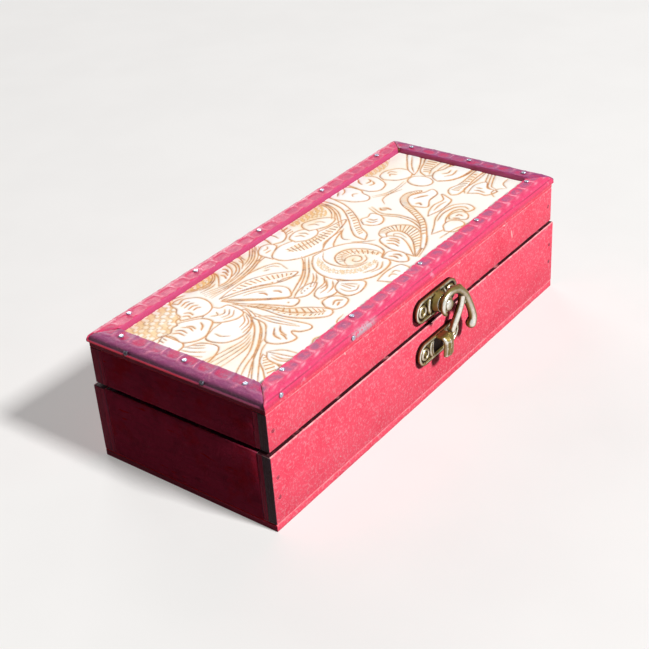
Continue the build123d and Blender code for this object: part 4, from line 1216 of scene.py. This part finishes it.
def tooled_leatherette():
    """Cream bonded leatherette, pressed by a hot roller, with tan antiquing wiped into the cuts:
    satin, white on the high places, tan in the cuts and ochre where the ground is matted."""
    panel = bpy.context.scene.pen_box_panel
    material, tree, point, cut, gap, mat, tint, rib, ribbed = start_material("tooled_leatherette", *LAYERS)
    worn = blotches(tree, point, 1.2, 0.2, 0.75, 3.0)
    worn = add_node(tree, "MapRange", {"Value": worn, "To Min": 1.75, "To Max": 1.15})
    line = add_node(tree, "Math", {0: cut, 1: worn}, operation="MULTIPLY", use_clamp=True)
    # Each rib is a stroke where its count is halfway between whole numbers
    stroke = rib
    for inputs, step in (({}, "FRACT"), ({1: 0.5}, "SUBTRACT"), ({}, "ABSOLUTE")):
        stroke = add_node(tree, "Math", {0: stroke, **inputs}, operation=step)
    stroke = add_node(tree, "MapRange", {"Value": stroke, "From Min": 0.24, "From Max": 0.10})
    bounds = add_node(tree, "MapRange", {"Value": ribbed, "From Min": 0.55, "From Max": 0.85})
    stroke = add_node(tree, "Math", {0: stroke, 1: bounds}, operation="MULTIPLY")
    drawn = add_node(tree, "Math", {0: stroke, 1: RIB_STRENGTH}, operation="MULTIPLY")
    line = add_node(tree, "Math", {0: line, 1: drawn}, operation="MAXIMUM")
    halo = add_node(tree, "MapRange", {"Value": gap, "From Min": 1.0, "From Max": 0.0,
                                                 "To Max": 0.52}, interpolation_type="SMOOTHSTEP")
    wiped = blotches(tree, point, 6.0, 0.35, 0.65)
    pooled = blotches(tree, point, 4.0, 0.45, 0.68)
    dye = coats(tree, panel.dye, (pooled, panel.dye_deep))
    colour = coats(tree, panel.cream, (mat, panel.tint, 0.10), (tint, panel.tint),
                   (tint, linear("#EFC070"), wiped), (halo, linear("#F6D5A2"), wiped), (line, dye))
    grain = blotches(tree, point, 0.5, 0.35, 0.65, 3.0)
    relief = coats(tree, grain, (stroke, BLACK))
    finish_material(tree, colour, 0.48, relief, 0.04, Specular_IOR_Level=0.4)
    return material


class PENBOX_OT_panel(bpy.types.Operator):
    """Tool the leatherette panel with scrolls, leaves and flowers"""
    bl_idname = "pen_box.panel"
    bl_label = "Tooled panel"

    def execute(self, context):
        panel = context.scene.pen_box_panel
        low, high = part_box("tooled_panel")
        across = int((high.x - low.x) / panel.grid_step)
        up = int((high.y - low.y) / panel.grid_step)
        only(None)
        bpy.ops.mesh.primitive_grid_add(x_subdivisions=across, y_subdivisions=up, size=1.0)
        piece = name_piece("tooled_leatherette")
        places = np.array(low) + (points_of(piece) + 0.5) * np.array(high - low)
        places[:, 2] = high.z
        shape = (up + 1, across + 1)
        tool = Tooling(places[:, 0].reshape(shape) / MM, places[:, 1].reshape(shape) / MM)
        for step in (draw_upper_scrolls, draw_flower, draw_sweeps, draw_fan, draw_middle, draw_right,
                     draw_spiral):
            step(tool)
        for centre, radius, strength in WASHES:
            tool.wash(centre, radius, strength)

        # Pillowed shapes between the cuts, a lower matted ground, all under the sheet's top
        pillow = np.clip(tool.gap / PILLOW_REACH, 0, 1)
        pillow = pillow * (2 - pillow)
        depth = GROUND_SHARE * (1 - pillow) + CUT_SHARE * tool.cut + MAT_SHARE * tool.mat
        places[:, 2] -= panel.cut_depth * depth.ravel() + SHEET_DROP
        places[:, 2] += SHEET_WAVE * lumps(places, 9.0)
        places[:, 2] = np.minimum(places[:, 2], high.z)
        move_points(piece, places)
        store(piece, **{name: getattr(tool, name) for name in LAYERS})
        with editing(piece, "EDGE") as mesh:
            for edge in mesh.edges:
                edge.select_set(edge.is_boundary)
            bpy.ops.mesh.extrude_edges_move(TRANSFORM_OT_translate={"value": (0, 0, low.z - high.z)})
            bpy.ops.mesh.edge_face_add()
        with editing(piece, action="SELECT"):
            bpy.ops.mesh.normals_make_consistent(inside=False)
        smooth(piece, 60.0)
        paint(piece, tooled_leatherette())
        fit(piece, "lid", "tooled_leather", "tooled_panel")
        return {"FINISHED"}


# Cast brass latch


# Places on the latch are in millimetres from the rivet's middle line (x and z), and how far out
# from the boss's flat front. Each row is x, z, out and the bar's radius.
HOOK_LINE = (
    # The curl round the rivet's head, the neck, the tail and its ball
    (-2.2, -3.3, 2.3, 0.88), (-3.5, -1.5, 2.35, 1.04), (-3.7, 0.9, 2.3, 1.16), (-2.4, 3.1, 2.2, 1.24),
    (0.6, 4.3, 2.1, 1.36), (4.2, 4.0, 1.9, 1.56), (8.2, 2.4, 1.7, 1.80), (12.3, -1.5, 1.65, 1.88),
    (15.4, -6.4, 1.7, 1.78), (17.8, -11.6, 1.8, 1.70), (18.9, -15.6, 1.75, 1.84), (18.1, -18.0, 1.4, 2.20),
)
TONGUE_LINE = (
    (9.0, 2.6, 1.6, 1.60), (10.9, -0.8, 1.6, 1.52), (10.7, -4.2, 1.5, 1.46), (9.5, -7.3, 1.3, 1.46),
    (7.9, -10.5, 0.9, 1.50), (6.9, -13.0, 0.5, 1.48), (5.9, -15.2, 0.2, 1.30),
)
# The web that joins the tongue's root to the tail
WEB_LINE = ((11.4, -0.6, 1.6, 1.6), (12.6, -3.2, 1.5, 1.4), (12.9, -5.4, 1.4, 1.0))
EYE_RADIUS = 3.4 * MM
EYE_THICK = 1.8 * MM
EYE_PLAY = 0.15 * MM
BOSS_RADII = (4.5 * MM, 3.7 * MM)
PLATE_THICK = 2.1 * MM
# A plate in millimetres: the radius of its ends, how far out their middles and its nails are
PLATE_END = 4.9
PLATE_REACH = 9.5
PLATE_RIM = 0.9
RELIEF_DEPTH = 0.62
NAIL_REACH = 9.8
NAIL_SINK = 0.55
# Round each nail: the radius of its well, and the radius and half width of the ring outside it
WELL_RADIUS = 1.75
RING_RADIUS, RING_HALF = 2.0, 0.66
WINDOW_DEPTH = 1.35
# Where each hump of a plate is, how high and how wide
HUMPS = ((6.0, 1.15, 0.62), (4.7, 0.60, 0.45))
NAIL_RADIUS = 1.15 * MM
NAIL_DOME = 0.5 * MM
NAIL_TIP, NAIL_SHANK = 0.10 * MM, 0.45 * MM
RIVET_HEAD, RIVET_HIGH, RIVET_SHANK = 2.45 * MM, 1.0 * MM, 1.5 * MM
STRAP_RADIUS = 0.8 * MM
STRAP_HALF = 2.95 * MM
STRAP_OFFSET = 0.3 * MM
POST_BULGE = 1.1 * MM
# Section of the keeper's strap and post: how far out from its plate, and how far below its top
STRAP_LINE = ((-0.9, 1.0), (0.6, 1.0), (2.0, 1.0), (3.0, 1.3), (3.5, 2.2), (3.6, 3.6), (3.6, 6.0), (3.5, 8.4))
# The way that a thumb meets the latch, which it rubs bright; faces turned this way also carry a painted
# highlight
THUMB_AND_HIGHLIGHT = Vector((-0.56, -0.78, 0.28))
CAST_UNEVEN = 0.03 * MM
HOOK_UNEVEN = 0.04 * MM
METALLIC = 0.94
RUBBED_ROUGHNESS = 0.16


def antique_brass():
    """Zinc alloy, die-cast, brass-plated and antiqued: brown-black patina stays in the hollows, and the same
    dark is painted shade underneath, behind and on the plates' sides near the board; the high places are
    rubbed bright, also a painted highlight on faces turned one way; slightly uneven all over."""
    metal = bpy.context.scene.pen_box_metal
    material, tree, point, hollow, worn = start_material("antique_brass", "hollow", "worn")
    uneven = blotches(tree, point, 1.6, 0.30, 0.70)
    wander = add_node(tree, "Math", {0: uneven, 1: 0.08, 2: -0.04}, operation="MULTIPLY_ADD")
    level = add_node(tree, "Math", {0: hollow, 1: wander}, operation="ADD")
    # Dark: patina in the hollows and painted shade underneath and behind
    dark = add_node(tree, "MapRange", {"Value": level, "From Min": 0.0, "From Max": 0.13},
                    interpolation_type="SMOOTHSTEP")
    patchy = add_node(tree, "MapRange", {"Value": uneven, "To Min": 1.0, "To Max": 0.75})
    rubbed = add_node(tree, "Math", {0: worn, 1: patchy}, operation="MULTIPLY")
    film = blotches(tree, point, 4.0, 0.35, 0.75)
    colour = coats(tree, metal.brass, (film, metal.brass_deep, 0.40), (dark, metal.patina),
                   (rubbed, metal.brass_bright))
    pits = blotches(tree, point, 0.35, 0.5, 0.8, 3.0)
    dull = add_node(tree, "MapRange", {"Value": dark, "To Min": 0.42, "To Max": 0.62})
    rough = add_node(tree, "Mix", {0: rubbed, 2: dull, 3: RUBBED_ROUGHNESS})
    finish_material(tree, colour, rough, pits, -0.012, Metallic=METALLIC)
    return material


def soften(piece, voxel, rounds):
    """Melt joined lumps into one casting: an even skin, then smoothed."""
    only(piece)
    piece.data.remesh_voxel_size = voxel
    bpy.ops.object.voxel_remesh()
    apply_modifier(piece, "SMOOTH", factor=0.5, iterations=rounds)


def hollows(piece, rounds=12):
    """How far each mesh point of a casting lies below its smoothed surface, in millimetres: below 0 on its
    crests.
    """
    places = points_of(piece)
    ends = np.zeros(len(piece.data.edges) * 2, int)
    piece.data.edges.foreach_get("vertices", ends)
    ends = ends.reshape(-1, 2)
    near = np.bincount(ends.ravel(), minlength=len(places))[:, None]
    soft = places.copy()
    for _ in range(rounds):
        total = np.zeros_like(soft)
        np.add.at(total, ends[:, 0], soft[ends[:, 1]])
        np.add.at(total, ends[:, 1], soft[ends[:, 0]])
        soft = total / near
    return ((soft - places) * normals_of(piece)).sum(1) / MM


def age(piece, plate_front=None):
    """Store where patina stays, with painted shade underneath, behind and, on a plate, on its sides close to
    the board, and where a thumb rubs it off, which is also a painted highlight. On a plate only the crests
    are rubbed."""
    facing = normals_of(piece)
    hollow = hollows(piece)
    # Painted shade: faces turned down or back towards the board are darkened
    under = rise(-facing[:, 2], 0.40, 0.35)
    behind = rise(facing[:, 1], 0.20, 0.50)
    # Painted highlight as well as rubbing: faces turned the thumb's way are painted bright
    worn = rise(facing @ np.array(THUMB_AND_HIGHLIGHT), 0.74, 0.18)
    if plate_front is not None:
        worn *= rise(-hollow, 0.015, 0.05)
        # Painted shade on a plate's sides close to the board
        hollow += 0.2 * rise((points_of(piece)[:, 1] - plate_front) / MM, 0.6, 0.5)
    worn *= np.clip(1 - hollow / 0.06, 0, 1)
    store(piece, hollow=hollow + 0.2 * np.maximum(under, behind), worn=worn)


def plate_relief(u, w, window):
    """How deep the cast pattern lies at each place on a plate, in millimetres from its middle:
    a rim all round, a raised ring round each sunk nail, two humps towards the middle and, where
    the hook's tongue goes in, a deep window."""
    side = np.abs(u)
    inside = PLATE_END - np.hypot(np.maximum(side - PLATE_REACH, 0), w)
    depth = RELIEF_DEPTH * eased(rise(inside, PLATE_RIM, 0.6))
    ring = np.hypot(side - NAIL_REACH, w)
    half = RING_HALF + 0.18 * np.cos(np.arctan2(w, side - NAIL_REACH) + 0.9)
    depth *= 1 - bell(ring - RING_RADIUS, half, 4)
    depth = np.where(ring < WELL_RADIUS, NAIL_SINK * rise(ring, WELL_RADIUS, -0.4), depth)
    for place, height, wide in HUMPS:
        depth -= height * bell(side - place + 0.09 * w * w, wide) * bell(w, 3.7, 6)
    if window:
        depth = np.maximum(depth, WINDOW_DEPTH * rise(side, 3.9, -0.5) * rise(np.abs(w), 3.6, -0.5))
    return np.clip(depth, -0.5, WINDOW_DEPTH) + 0.6 * np.clip(0.6 - inside, 0, 0.6)


def cast_plate(name, node, centre, extras, voxel, bulge=0.0):
    """Cast one oblong latch plate with what stands on it; returns the finished mesh. Its middle
    is centre, its back is against the board. Where its post bulges it has a window behind."""
    low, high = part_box(node)
    front = high.y - PLATE_THICK
    middle = Vector((centre.x, (high.y + front) / 2, centre.z))
    only(None)
    parts = [round_bar(middle + Vector((side * PLATE_REACH * MM, 0, 0)), PLATE_END * MM, high.y - front)
             for side in (-1, 1)]
    bpy.ops.mesh.primitive_cube_add(
        size=1, location=middle, scale=(2 * PLATE_REACH * MM, high.y - front, 2 * PLATE_END * MM))
    parts.append(bpy.context.object)
    piece = settle(join(parts + extras, name))
    soften(piece, voxel, 2)
    places = points_of(piece)
    u, w = (places[:, 0] - centre.x) / MM, (places[:, 2] - centre.z) / MM
    face = np.clip(1 - np.abs(places[:, 1] - front) / (0.45 * MM), 0, 1)
    face = face * (normals_of(piece)[:, 1] < -0.3)
    places[:, 1] += plate_relief(u, w, bulge > 0) * MM * np.sqrt(face)
    places += CAST_UNEVEN * (lumps(places, 1.4)[:, None] * normals_of(piece))
    places[:, 1] = np.clip(places[:, 1], low.y - bulge, high.y)
    move_points(piece, places)
    apply_modifier(piece, "SMOOTH", factor=0.5, iterations=2)
    age(piece, front)
    return piece


def bar_beads(line, centre, face_y):
    """Balls set close together along a smooth line of rows like HOOK_LINE's."""
    made = []
    for x, z, out, radius in spline(line, 8):
        place = centre + Vector((x, 0, z)) * MM
        place.y = face_y - out * MM
        bpy.ops.mesh.primitive_ico_sphere_add(subdivisions=3, radius=radius * MM, location=place)
        made.append(bpy.context.object)
    return made


def make_hook(centre, face_y, voxel):
    """The swan-neck hook: a curl round the rivet, a tongue and a ball-ended tail."""
    only(None)
    made = [bead for line in (HOOK_LINE, TONGUE_LINE, WEB_LINE) for bead in bar_beads(line, centre, face_y)]
    made.append(round_bar(Vector((centre.x, face_y - EYE_PLAY - EYE_THICK / 2, centre.z)),
                          EYE_RADIUS, EYE_THICK))
    piece = settle(join(made, "latch_hook_cast"))
    soften(piece, voxel, 3)
    places = points_of(piece)
    places += HOOK_UNEVEN * (lumps(places, 2.2)[:, None] * normals_of(piece))
    places[:, 1] = np.clip(places[:, 1], CAD_BOX[0][1], None)
    move_points(piece, places)
    age(piece)
    return piece


def make_keeper(centre, voxel):
    """Keeper plate with the strap that comes out over the tongue and turns down as a post,
    rounded across its front."""
    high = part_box("latch_keeper")[1]
    front = high.y - PLATE_THICK
    made = []
    only(None)
    for out, down in spline(STRAP_LINE, 14):
        bpy.ops.mesh.primitive_uv_sphere_add(segments=24, ring_count=16, radius=STRAP_RADIUS)
        bead = bpy.context.object
        places = points_of(bead)
        places[:, 0] += np.sign(places[:, 0]) * (STRAP_HALF - STRAP_RADIUS)
        on_post = rise(down, 1.0, 1.5)
        places[:, 1] -= on_post * POST_BULGE * (1 - (places[:, 0] / STRAP_HALF) ** 2)
        places += np.array((centre.x + STRAP_OFFSET, front - out * MM, high.z - down * MM))
        move_points(bead, places)
        made.append(bead)
    return cast_plate("latch_keeper_cast", "latch_keeper", centre, made, voxel, POST_BULGE)


def make_nails(name, node, plate_node):
    """Domed nail heads, sunk in the rings of a latch plate, with their shanks."""
    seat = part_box(plate_node)[1].y - (PLATE_THICK - NAIL_SINK * MM)
    made = []
    for low, high in solids_of(node):
        middle = (low + high) / 2
        only(None)
        bpy.ops.mesh.primitive_uv_sphere_add(segments=32, ring_count=16, radius=NAIL_RADIUS,
                                             location=(middle.x, seat, middle.z),
                                             scale=(1, NAIL_DOME / NAIL_RADIUS, 1))
        made.append(bpy.context.object)
        bpy.ops.mesh.primitive_cone_add(vertices=24, radius1=NAIL_TIP, radius2=NAIL_SHANK,
                                        depth=high.y - seat, rotation=(pi / 2, 0, 0),
                                        location=(middle.x, (high.y + seat) / 2, middle.z))
        made.append(bpy.context.object)
    piece = settle(join(made, name))
    smooth(piece, 60.0)
    store(piece, hollow=np.full(len(piece.data.vertices), 0.03))
    return piece


def make_rivet(centre):
    """The rivet that the hook turns on, with its head riveted over to a low dome."""
    low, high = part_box("latch_rivet")
    under_head = low.y + RIVET_HIGH
    only(None)
    bpy.ops.mesh.primitive_uv_sphere_add(segments=48, ring_count=24, radius=RIVET_HEAD,
                                         location=(centre.x, under_head, centre.z),
                                         scale=(1, RIVET_HIGH / RIVET_HEAD, 1))
    head = settle(bpy.context.object)
    with editing(head, action="SELECT"):
        bpy.ops.mesh.bisect(plane_co=(0, under_head + 0.1 * MM, 0), plane_no=(0, 1, 0),
                            use_fill=True, clear_outer=True)
    only(None)
    shank = round_bar((centre.x, (high.y + under_head) / 2, centre.z), RIVET_SHANK, high.y - under_head, 48)
    piece = settle(join([head, shank], "latch_rivet_head"))
    facing = normals_of(piece)
    # Painted shade on the head's sides that turn back, and a painted highlight where it faces the thumb's way
    store(piece, hollow=0.12 * np.clip(facing[:, 1] + 0.35, 0, 1),
          worn=rise(facing @ np.array(THUMB_AND_HIGHLIGHT), 0.70, 0.28))
    smooth(piece, 50.0)
    return piece


class PENBOX_OT_latch(bpy.types.Operator):
    """Cast the swing-hook latch: upper plate, keeper, hook, rivet, nails and their patina"""
    bl_idname = "pen_box.latch"
    bl_label = "Swing-hook latch"

    def execute(self, context):
        brass = antique_brass()
        voxel = context.scene.pen_box_metal.cast_step
        rivet_low, rivet_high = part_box("latch_rivet")
        centre = (rivet_low + rivet_high) / 2
        plate_low, plate_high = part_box("latch_plate")
        face_y, front = plate_low.y, plate_high.y - PLATE_THICK
        only(None)
        bpy.ops.mesh.primitive_cone_add(
            vertices=64, radius1=BOSS_RADII[0], radius2=BOSS_RADII[1], depth=front - face_y + 0.2 * MM,
            rotation=(pi / 2, 0, 0), location=(centre.x, (front + face_y) / 2 + 0.1 * MM, centre.z))
        boss = bpy.context.object
        keeper_centre = Vector((centre.x, 0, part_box("latch_keeper")[0].z + PLATE_END * MM))
        castings = (
            (cast_plate("latch_plate_cast", "latch_plate", centre, [boss], voxel), "lid", "latch_plate"),
            (make_keeper(keeper_centre, voxel), "base", "latch_keeper"),
            (make_hook(centre, face_y, voxel), "hook", "latch_hook"),
        )
        for piece, body, node in castings:
            smooth(piece, 80.0)
        fasteners = (
            (make_rivet(centre), "lid", "latch_rivet"),
            (make_nails("latch_nails", "latch_plate_nails", "latch_plate"), "lid", "latch_plate_nails"),
            (make_nails("latch_keeper_nails", "keeper_nails", "latch_keeper"), "base", "keeper_nails"),
        )
        for piece, body, node in castings + fasteners:
            paint(piece, brass)
            fit(piece, body, "antique_brass", node)
        return {"FINISHED"}


# Slats, lining, hinges, tacks and brads


# The slats are this much lower and narrower than their solids, to lie under the leather
SLAT_DROP = 0.35 * MM
SLAT_INSET = 0.12 * MM
# How far the leather's rim is rounder than its slat's, in millimetres
RIM_OVER_SLAT = 0.7
# Tack heads that reach no further in than this from the left face are the left end's
LEFT_TACKS = 0.8 * MM
LINING_CUTS = 24
PILE_UNEVEN = 0.05 * MM


def sawn_pine():
    """Sawn pine, left plain under the leather: pale, streaked along the grain, dull."""
    material, tree, point = start_material("sawn_pine")
    streaks = blotches(tree, point, 1.2, 0.35, 0.65, 5.0, (0.12, 1.0, 1.0))
    fuzz = blotches(tree, point, 0.4, 0.45, 0.75, 3.0)
    colour = coats(tree, linear("#C9A06E"), (streaks, linear("#A77F50")), (fuzz, linear("#D8B788")))
    finish_material(tree, colour, 0.75, fuzz, 0.05, Specular_IOR_Level=0.3)
    return material


def flocked_velvet():
    """Flocked velvet, short nylon pile blown onto glue: deep and dull, paler in patches where the pile leans,
    a painted sheen.
    """
    lining = bpy.context.scene.pen_box_lining
    material, tree, point = start_material("flocked_velvet")
    pile = blotches(tree, point, 0.35, 0.35, 0.65, 3.0)
    # Painted sheen: broad paler patches of the pile tips' colour
    leaning_sheen = blotches(tree, point, 14.0, 0.40, 0.66)
    share = add_node(tree, "Math", {0: leaning_sheen, 1: 0.55, 2: 0.10}, operation="MULTIPLY_ADD")
    colour = coats(tree, lining.pile, (share, lining.pile_tip), (pile, linear("#4C4048"), 0.30))
    finish_material(tree, colour, 0.92, pile, 0.10, Specular_IOR_Level=0.15, Sheen_Weight=0.12,
                    Sheen_Roughness=0.45)
    return material


def tack_steel():
    """Steel upholstery tacks, rubbed bright; on the shaded left end they are painted dark and dull, a painted
    shade.
    """
    metal = bpy.context.scene.pen_box_metal
    material, tree, point = start_material("tack_steel")
    length = add_node(tree, "SeparateXYZ", {0: point}, output="X")
    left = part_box("trim_left")[0].x + LEFT_TACKS
    top = add_node(tree, "Math", {0: length, 1: left}, operation="GREATER_THAN")
    film = blotches(tree, point, 0.9, 0.35, 0.7, 3.0)
    film = add_node(tree, "Math", {0: film, 1: 0.5}, operation="MULTIPLY")
    # Painted shade: the left end's tacks take a dark colour, the others bright steel
    colour = coats(tree, linear("#2C1E26"), (top, metal.steel), (film, linear("#8A8E9C")))
    rough = add_node(tree, "MapRange", {"Value": top, "To Min": 0.55, "To Max": 0.24})
    finish_material(tree, colour, rough, film, 0.02, Metallic=0.9)
    return material


def stained_brad():
    """Steel brads driven flush and stained over with the boards: dull red, darker in patches."""
    material, tree, point = start_material("stained_brad")
    film = blotches(tree, point, 0.7, 0.35, 0.65, 3.0)
    colour = coats(tree, linear("#D24A60"), (film, linear("#8A2A3A")))
    finish_material(tree, colour, 0.5, film, 0.04, Specular_IOR_Level=0.45)
    return material


def make_slat(side):
    """A mitred slat under the leather: its outer top edge is planed round."""
    rim, slope = TRIM_SIDES[side][3:]
    low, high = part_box("rim_slat_" + side)
    widths = {name: min((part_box("rim_slat_" + name)[1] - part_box("rim_slat_" + name)[0])[:2])
              for name in TRIM_SIDES}
    along = 0 if side in ("front", "back") else 1
    ends = ("left", "right") if along == 0 else ("front", "back")
    outward = -1 if side in ("front", "left") else 1
    block(low, high)
    piece = name_piece("slat_" + side)
    places = points_of(piece)
    across = 1 - along
    outer = places[:, across] * outward > (low[across] + high[across]) / 2 * outward
    top = places[:, 2] > (low.z + high.z) / 2
    first = places[:, along] < 0
    places[~outer & first, along] += widths[ends[0]]
    places[~outer & ~first, along] -= widths[ends[1]]
    places[outer, across] -= outward * SLAT_INSET
    places[top, 2] -= SLAT_DROP
    places[top & outer, 2] -= slope * MM
    move_points(piece, places)
    with editing(piece, "EDGE") as mesh:
        for edge in mesh.edges:
            edge.select_set(all(outer[v.index] and top[v.index] for v in edge.verts))
        bpy.ops.mesh.bevel(offset=(rim - RIM_OVER_SLAT) * MM, segments=6, affect="EDGES")
    smooth(piece)
    return fit(piece, "lid", "frame_slat", "rim_slat_" + side)


def make_lining(node, body):
    """Card covered with flocked velvet, in the space of one lining node."""
    lining = bpy.context.scene.pen_box_lining
    sheets = []
    for low, high in solids_of(node):
        sheet = block(low, high)
        apply_modifier(sheet, "BEVEL", width=lining.edge_round, segments=2, limit_method="NONE")
        with editing(sheet, action="SELECT"):
            bpy.ops.mesh.subdivide(number_cuts=LINING_CUTS)
        sheets.append(sheet)
    piece = join(sheets, node.replace("lining", "velvet"))
    places = points_of(piece)
    low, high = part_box(node)
    places += PILE_UNEVEN * (lumps(places, 10.0)[:, None] * normals_of(piece))
    move_points(piece, np.clip(places, np.array(low), np.array(high)))
    smooth(piece, 50.0)
    return fit(piece, body, "velvet_lining", node)


class PENBOX_OT_slats(bpy.types.Operator):
    """Plane and mitre the slats under the leather frame"""
    bl_idname = "pen_box.slats"
    bl_label = "Frame slats"

    def execute(self, context):
        pine = sawn_pine()
        for side in TRIM_SIDES:
            paint(make_slat(side), pine)
        return {"FINISHED"}


class PENBOX_OT_lining(bpy.types.Operator):
    """Line the base and the lid with flocked velvet"""
    bl_idname = "pen_box.lining"
    bl_label = "Velvet lining"

    def execute(self, context):
        velvet = flocked_velvet()
        for body, nodes in (("base", ("base_lining_floor", "base_lining_walls")),
                            ("lid", ("lid_lining_top", "lid_lining_walls"))):
            for node in nodes:
                paint(make_lining(node, body), velvet)
        return {"FINISHED"}


class PENBOX_OT_hardware(bpy.types.Operator):
    """Finish the hinges, their nails, the tacks and the brads"""
    bl_idname = "pen_box.hardware"
    bl_label = "Hinges, tacks and brads"

    def execute(self, context):
        brass = bpy.data.materials["antique_brass"]
        sides = ("left", "right")
        paint_nodes(brass, "hinge_nails_base", "hinge_nails_lid",
                    *("hinge_leaf_%s_%s" % (half, side) for half in ("base", "lid") for side in sides),
                    *("hinge_pin_" + side for side in sides))
        paint_nodes(tack_steel(), "trim_tacks")
        paint_nodes(stained_brad(), "base_nails", "lid_nails")
        return {"FINISHED"}


# Camera, floor and light


# The camera's place, directions and focal length were fitted to the box's straight edges
PHOTO_PIXELS = 649
CAMERA_FOCAL_PIXELS = 1260.19
CAMERA_PLACE = Vector((-349.87, -269.65, 289.47)) * MM
CAMERA_RIGHT = Vector((0.59441, -0.80181, -0.06146))
CAMERA_DOWN = Vector((-0.45088, -0.26901, -0.85108))
CAMERA_FORWARD = Vector((0.66588, 0.53360, -0.52142))
LAMP_DISTANCE = 3.0
KEY_DIRECTION = Vector((0.045, -0.72, 0.69))
FILL_DIRECTION = Vector((0.55, 0.80, 0.30))
FILL_SIZE = 1.6
# Share of the floor's brightness that is its own, so that shadows stay soft
FLOOR_GLOW = 0.35
FLOOR_SIZE = 8.0
SENSOR_WIDTH = 36.0
# How strongly the sky shows in reflections
SKY_IN_GLOSS = 0.8


def make_camera(context):
    """The camera at the photograph's place, with its lens worked out from pixels."""
    only(None)
    bpy.ops.object.camera_add()
    camera = context.object
    turn = Matrix((CAMERA_RIGHT, -CAMERA_DOWN, -CAMERA_FORWARD)).transposed()
    camera.matrix_world = Matrix.Translation(CAMERA_PLACE) @ turn.to_4x4()
    camera.data.sensor_width = SENSOR_WIDTH
    camera.data.lens = CAMERA_FOCAL_PIXELS / PHOTO_PIXELS * SENSOR_WIDTH
    camera.data.clip_start = 0.01
    context.scene.camera = camera


def make_floor(stage):
    """A wide pale floor. Scattered light finds it dark, so that it doesn't light up the
    shaded end of the box."""
    only(None)
    bpy.ops.mesh.primitive_plane_add(size=FLOOR_SIZE)
    floor = name_piece("floor")
    material, tree, point = start_material("matt_painted_floor")
    seen = add_node(tree, "LightPath", output="Is Camera Ray")
    rays = seen.node.outputs
    for way in ("Is Glossy Ray", "Is Transmission Ray"):
        seen = add_node(tree, "Math", {0: seen, 1: rays[way]}, operation="MAXIMUM")
    mottle = blotches(tree, point, 60.0, 0.3, 0.7, 2.0)
    pale = coats(tree, stage.floor_colour, (mottle, linear("#F1EFED")))
    lit = coats(tree, BLACK, (1.0 - FLOOR_GLOW, pale))
    colour = coats(tree, linear("#363433"), (seen, lit))
    glow = add_node(tree, "Math", {0: seen, 1: FLOOR_GLOW}, operation="MULTIPLY")
    finish_material(tree, colour, 0.9, mottle, 0.05, Specular_IOR_Level=0.1,
                    Emission_Color=pale, Emission_Strength=glow)
    paint(floor, material)


def make_lamp(direction, size, level):
    """One square lamp far off, whose level is the brightness of a white surface that faces it."""
    way = direction.normalized()
    only(None)
    bpy.ops.object.light_add(type="AREA", location=way * LAMP_DISTANCE)
    lamp = bpy.context.object
    lamp.rotation_mode = "QUATERNION"
    lamp.rotation_quaternion = way.to_track_quat("Z", "Y")
    lamp.data.size = size
    # The power that a lamp at this distance needs for that
    lamp.data.energy = level * pi * pi * LAMP_DISTANCE ** 2


def make_sky(context, stage):
    """A dim even sky, white where the camera or a reflection sees it."""
    world = bpy.data.worlds.new("studio")
    context.scene.world = world
    world.use_nodes = True
    tree = world.node_tree
    tree.nodes.clear()
    level = add_node(tree, "LightPath", output="Is Camera Ray")
    rays = level.node.outputs
    glossy = add_node(tree, "Math", {0: rays["Is Glossy Ray"], 1: SKY_IN_GLOSS}, operation="MULTIPLY")
    for other in (rays["Is Transmission Ray"], glossy, stage.sky_level):
        level = add_node(tree, "Math", {0: level, 1: other}, operation="MAXIMUM")
    sky = add_node(tree, "Background", {"Color": linear("#F4F6FA"), "Strength": level})
    add_node(tree, "OutputWorld", {"Surface": sky})


class PENBOX_OT_stage(bpy.types.Operator):
    """Make the floor, the lamps, the sky and the camera"""
    bl_idname = "pen_box.stage"
    bl_label = "Stage"

    def execute(self, context):
        stage = context.scene.pen_box_stage
        make_camera(context)
        make_floor(stage)
        make_lamp(KEY_DIRECTION, stage.key_size, stage.key_level)
        make_lamp(FILL_DIRECTION, FILL_SIZE, stage.fill_level)
        make_sky(context, stage)
        context.scene.view_settings.view_transform = "Standard"
        return {"FINISHED"}


class PENBOX_PT_panel(bpy.types.Panel):
    """Lists the steps of the pen box in the sidebar"""
    bl_idname = "PENBOX_PT_panel"
    bl_label = "Pen Box"
    bl_space_type = "VIEW_3D"
    bl_region_type = "UI"
    bl_category = "Pen Box"

    def draw(self, context):
        for step in STEPS:
            self.layout.operator(step.bl_idname)
        for name in SETTINGS:
            group = getattr(context.scene, name)
            for key in group.__annotations__:
                self.layout.prop(group, key)


STEPS = (PENBOX_OT_stage, PENBOX_OT_boards, PENBOX_OT_leather, PENBOX_OT_panel,
         PENBOX_OT_latch, PENBOX_OT_slats, PENBOX_OT_lining, PENBOX_OT_hardware)


def register():
    """Register the settings, the operators and the panel."""
    for name, group in SETTINGS.items():
        bpy.utils.register_class(group)
        setattr(bpy.types.Scene, name, PointerProperty(type=group))
    for made in STEPS + (PENBOX_PT_panel,):
        bpy.utils.register_class(made)


def unregister():
    """Take the panel, the operators and the settings away again."""
    for made in reversed(STEPS + (PENBOX_PT_panel,)):
        bpy.utils.unregister_class(made)
    for name, group in SETTINGS.items():
        delattr(bpy.types.Scene, name)
        bpy.utils.unregister_class(group)


def main():
    """Run each step in order."""
    register()
    for step in STEPS:
        family, name = step.bl_idname.split(".")
        if getattr(getattr(bpy.ops, family), name)() != {"FINISHED"}:
            raise RuntimeError(step.bl_idname + " didn't finish")
    only(None)


if __name__ == "__main__":
    main()
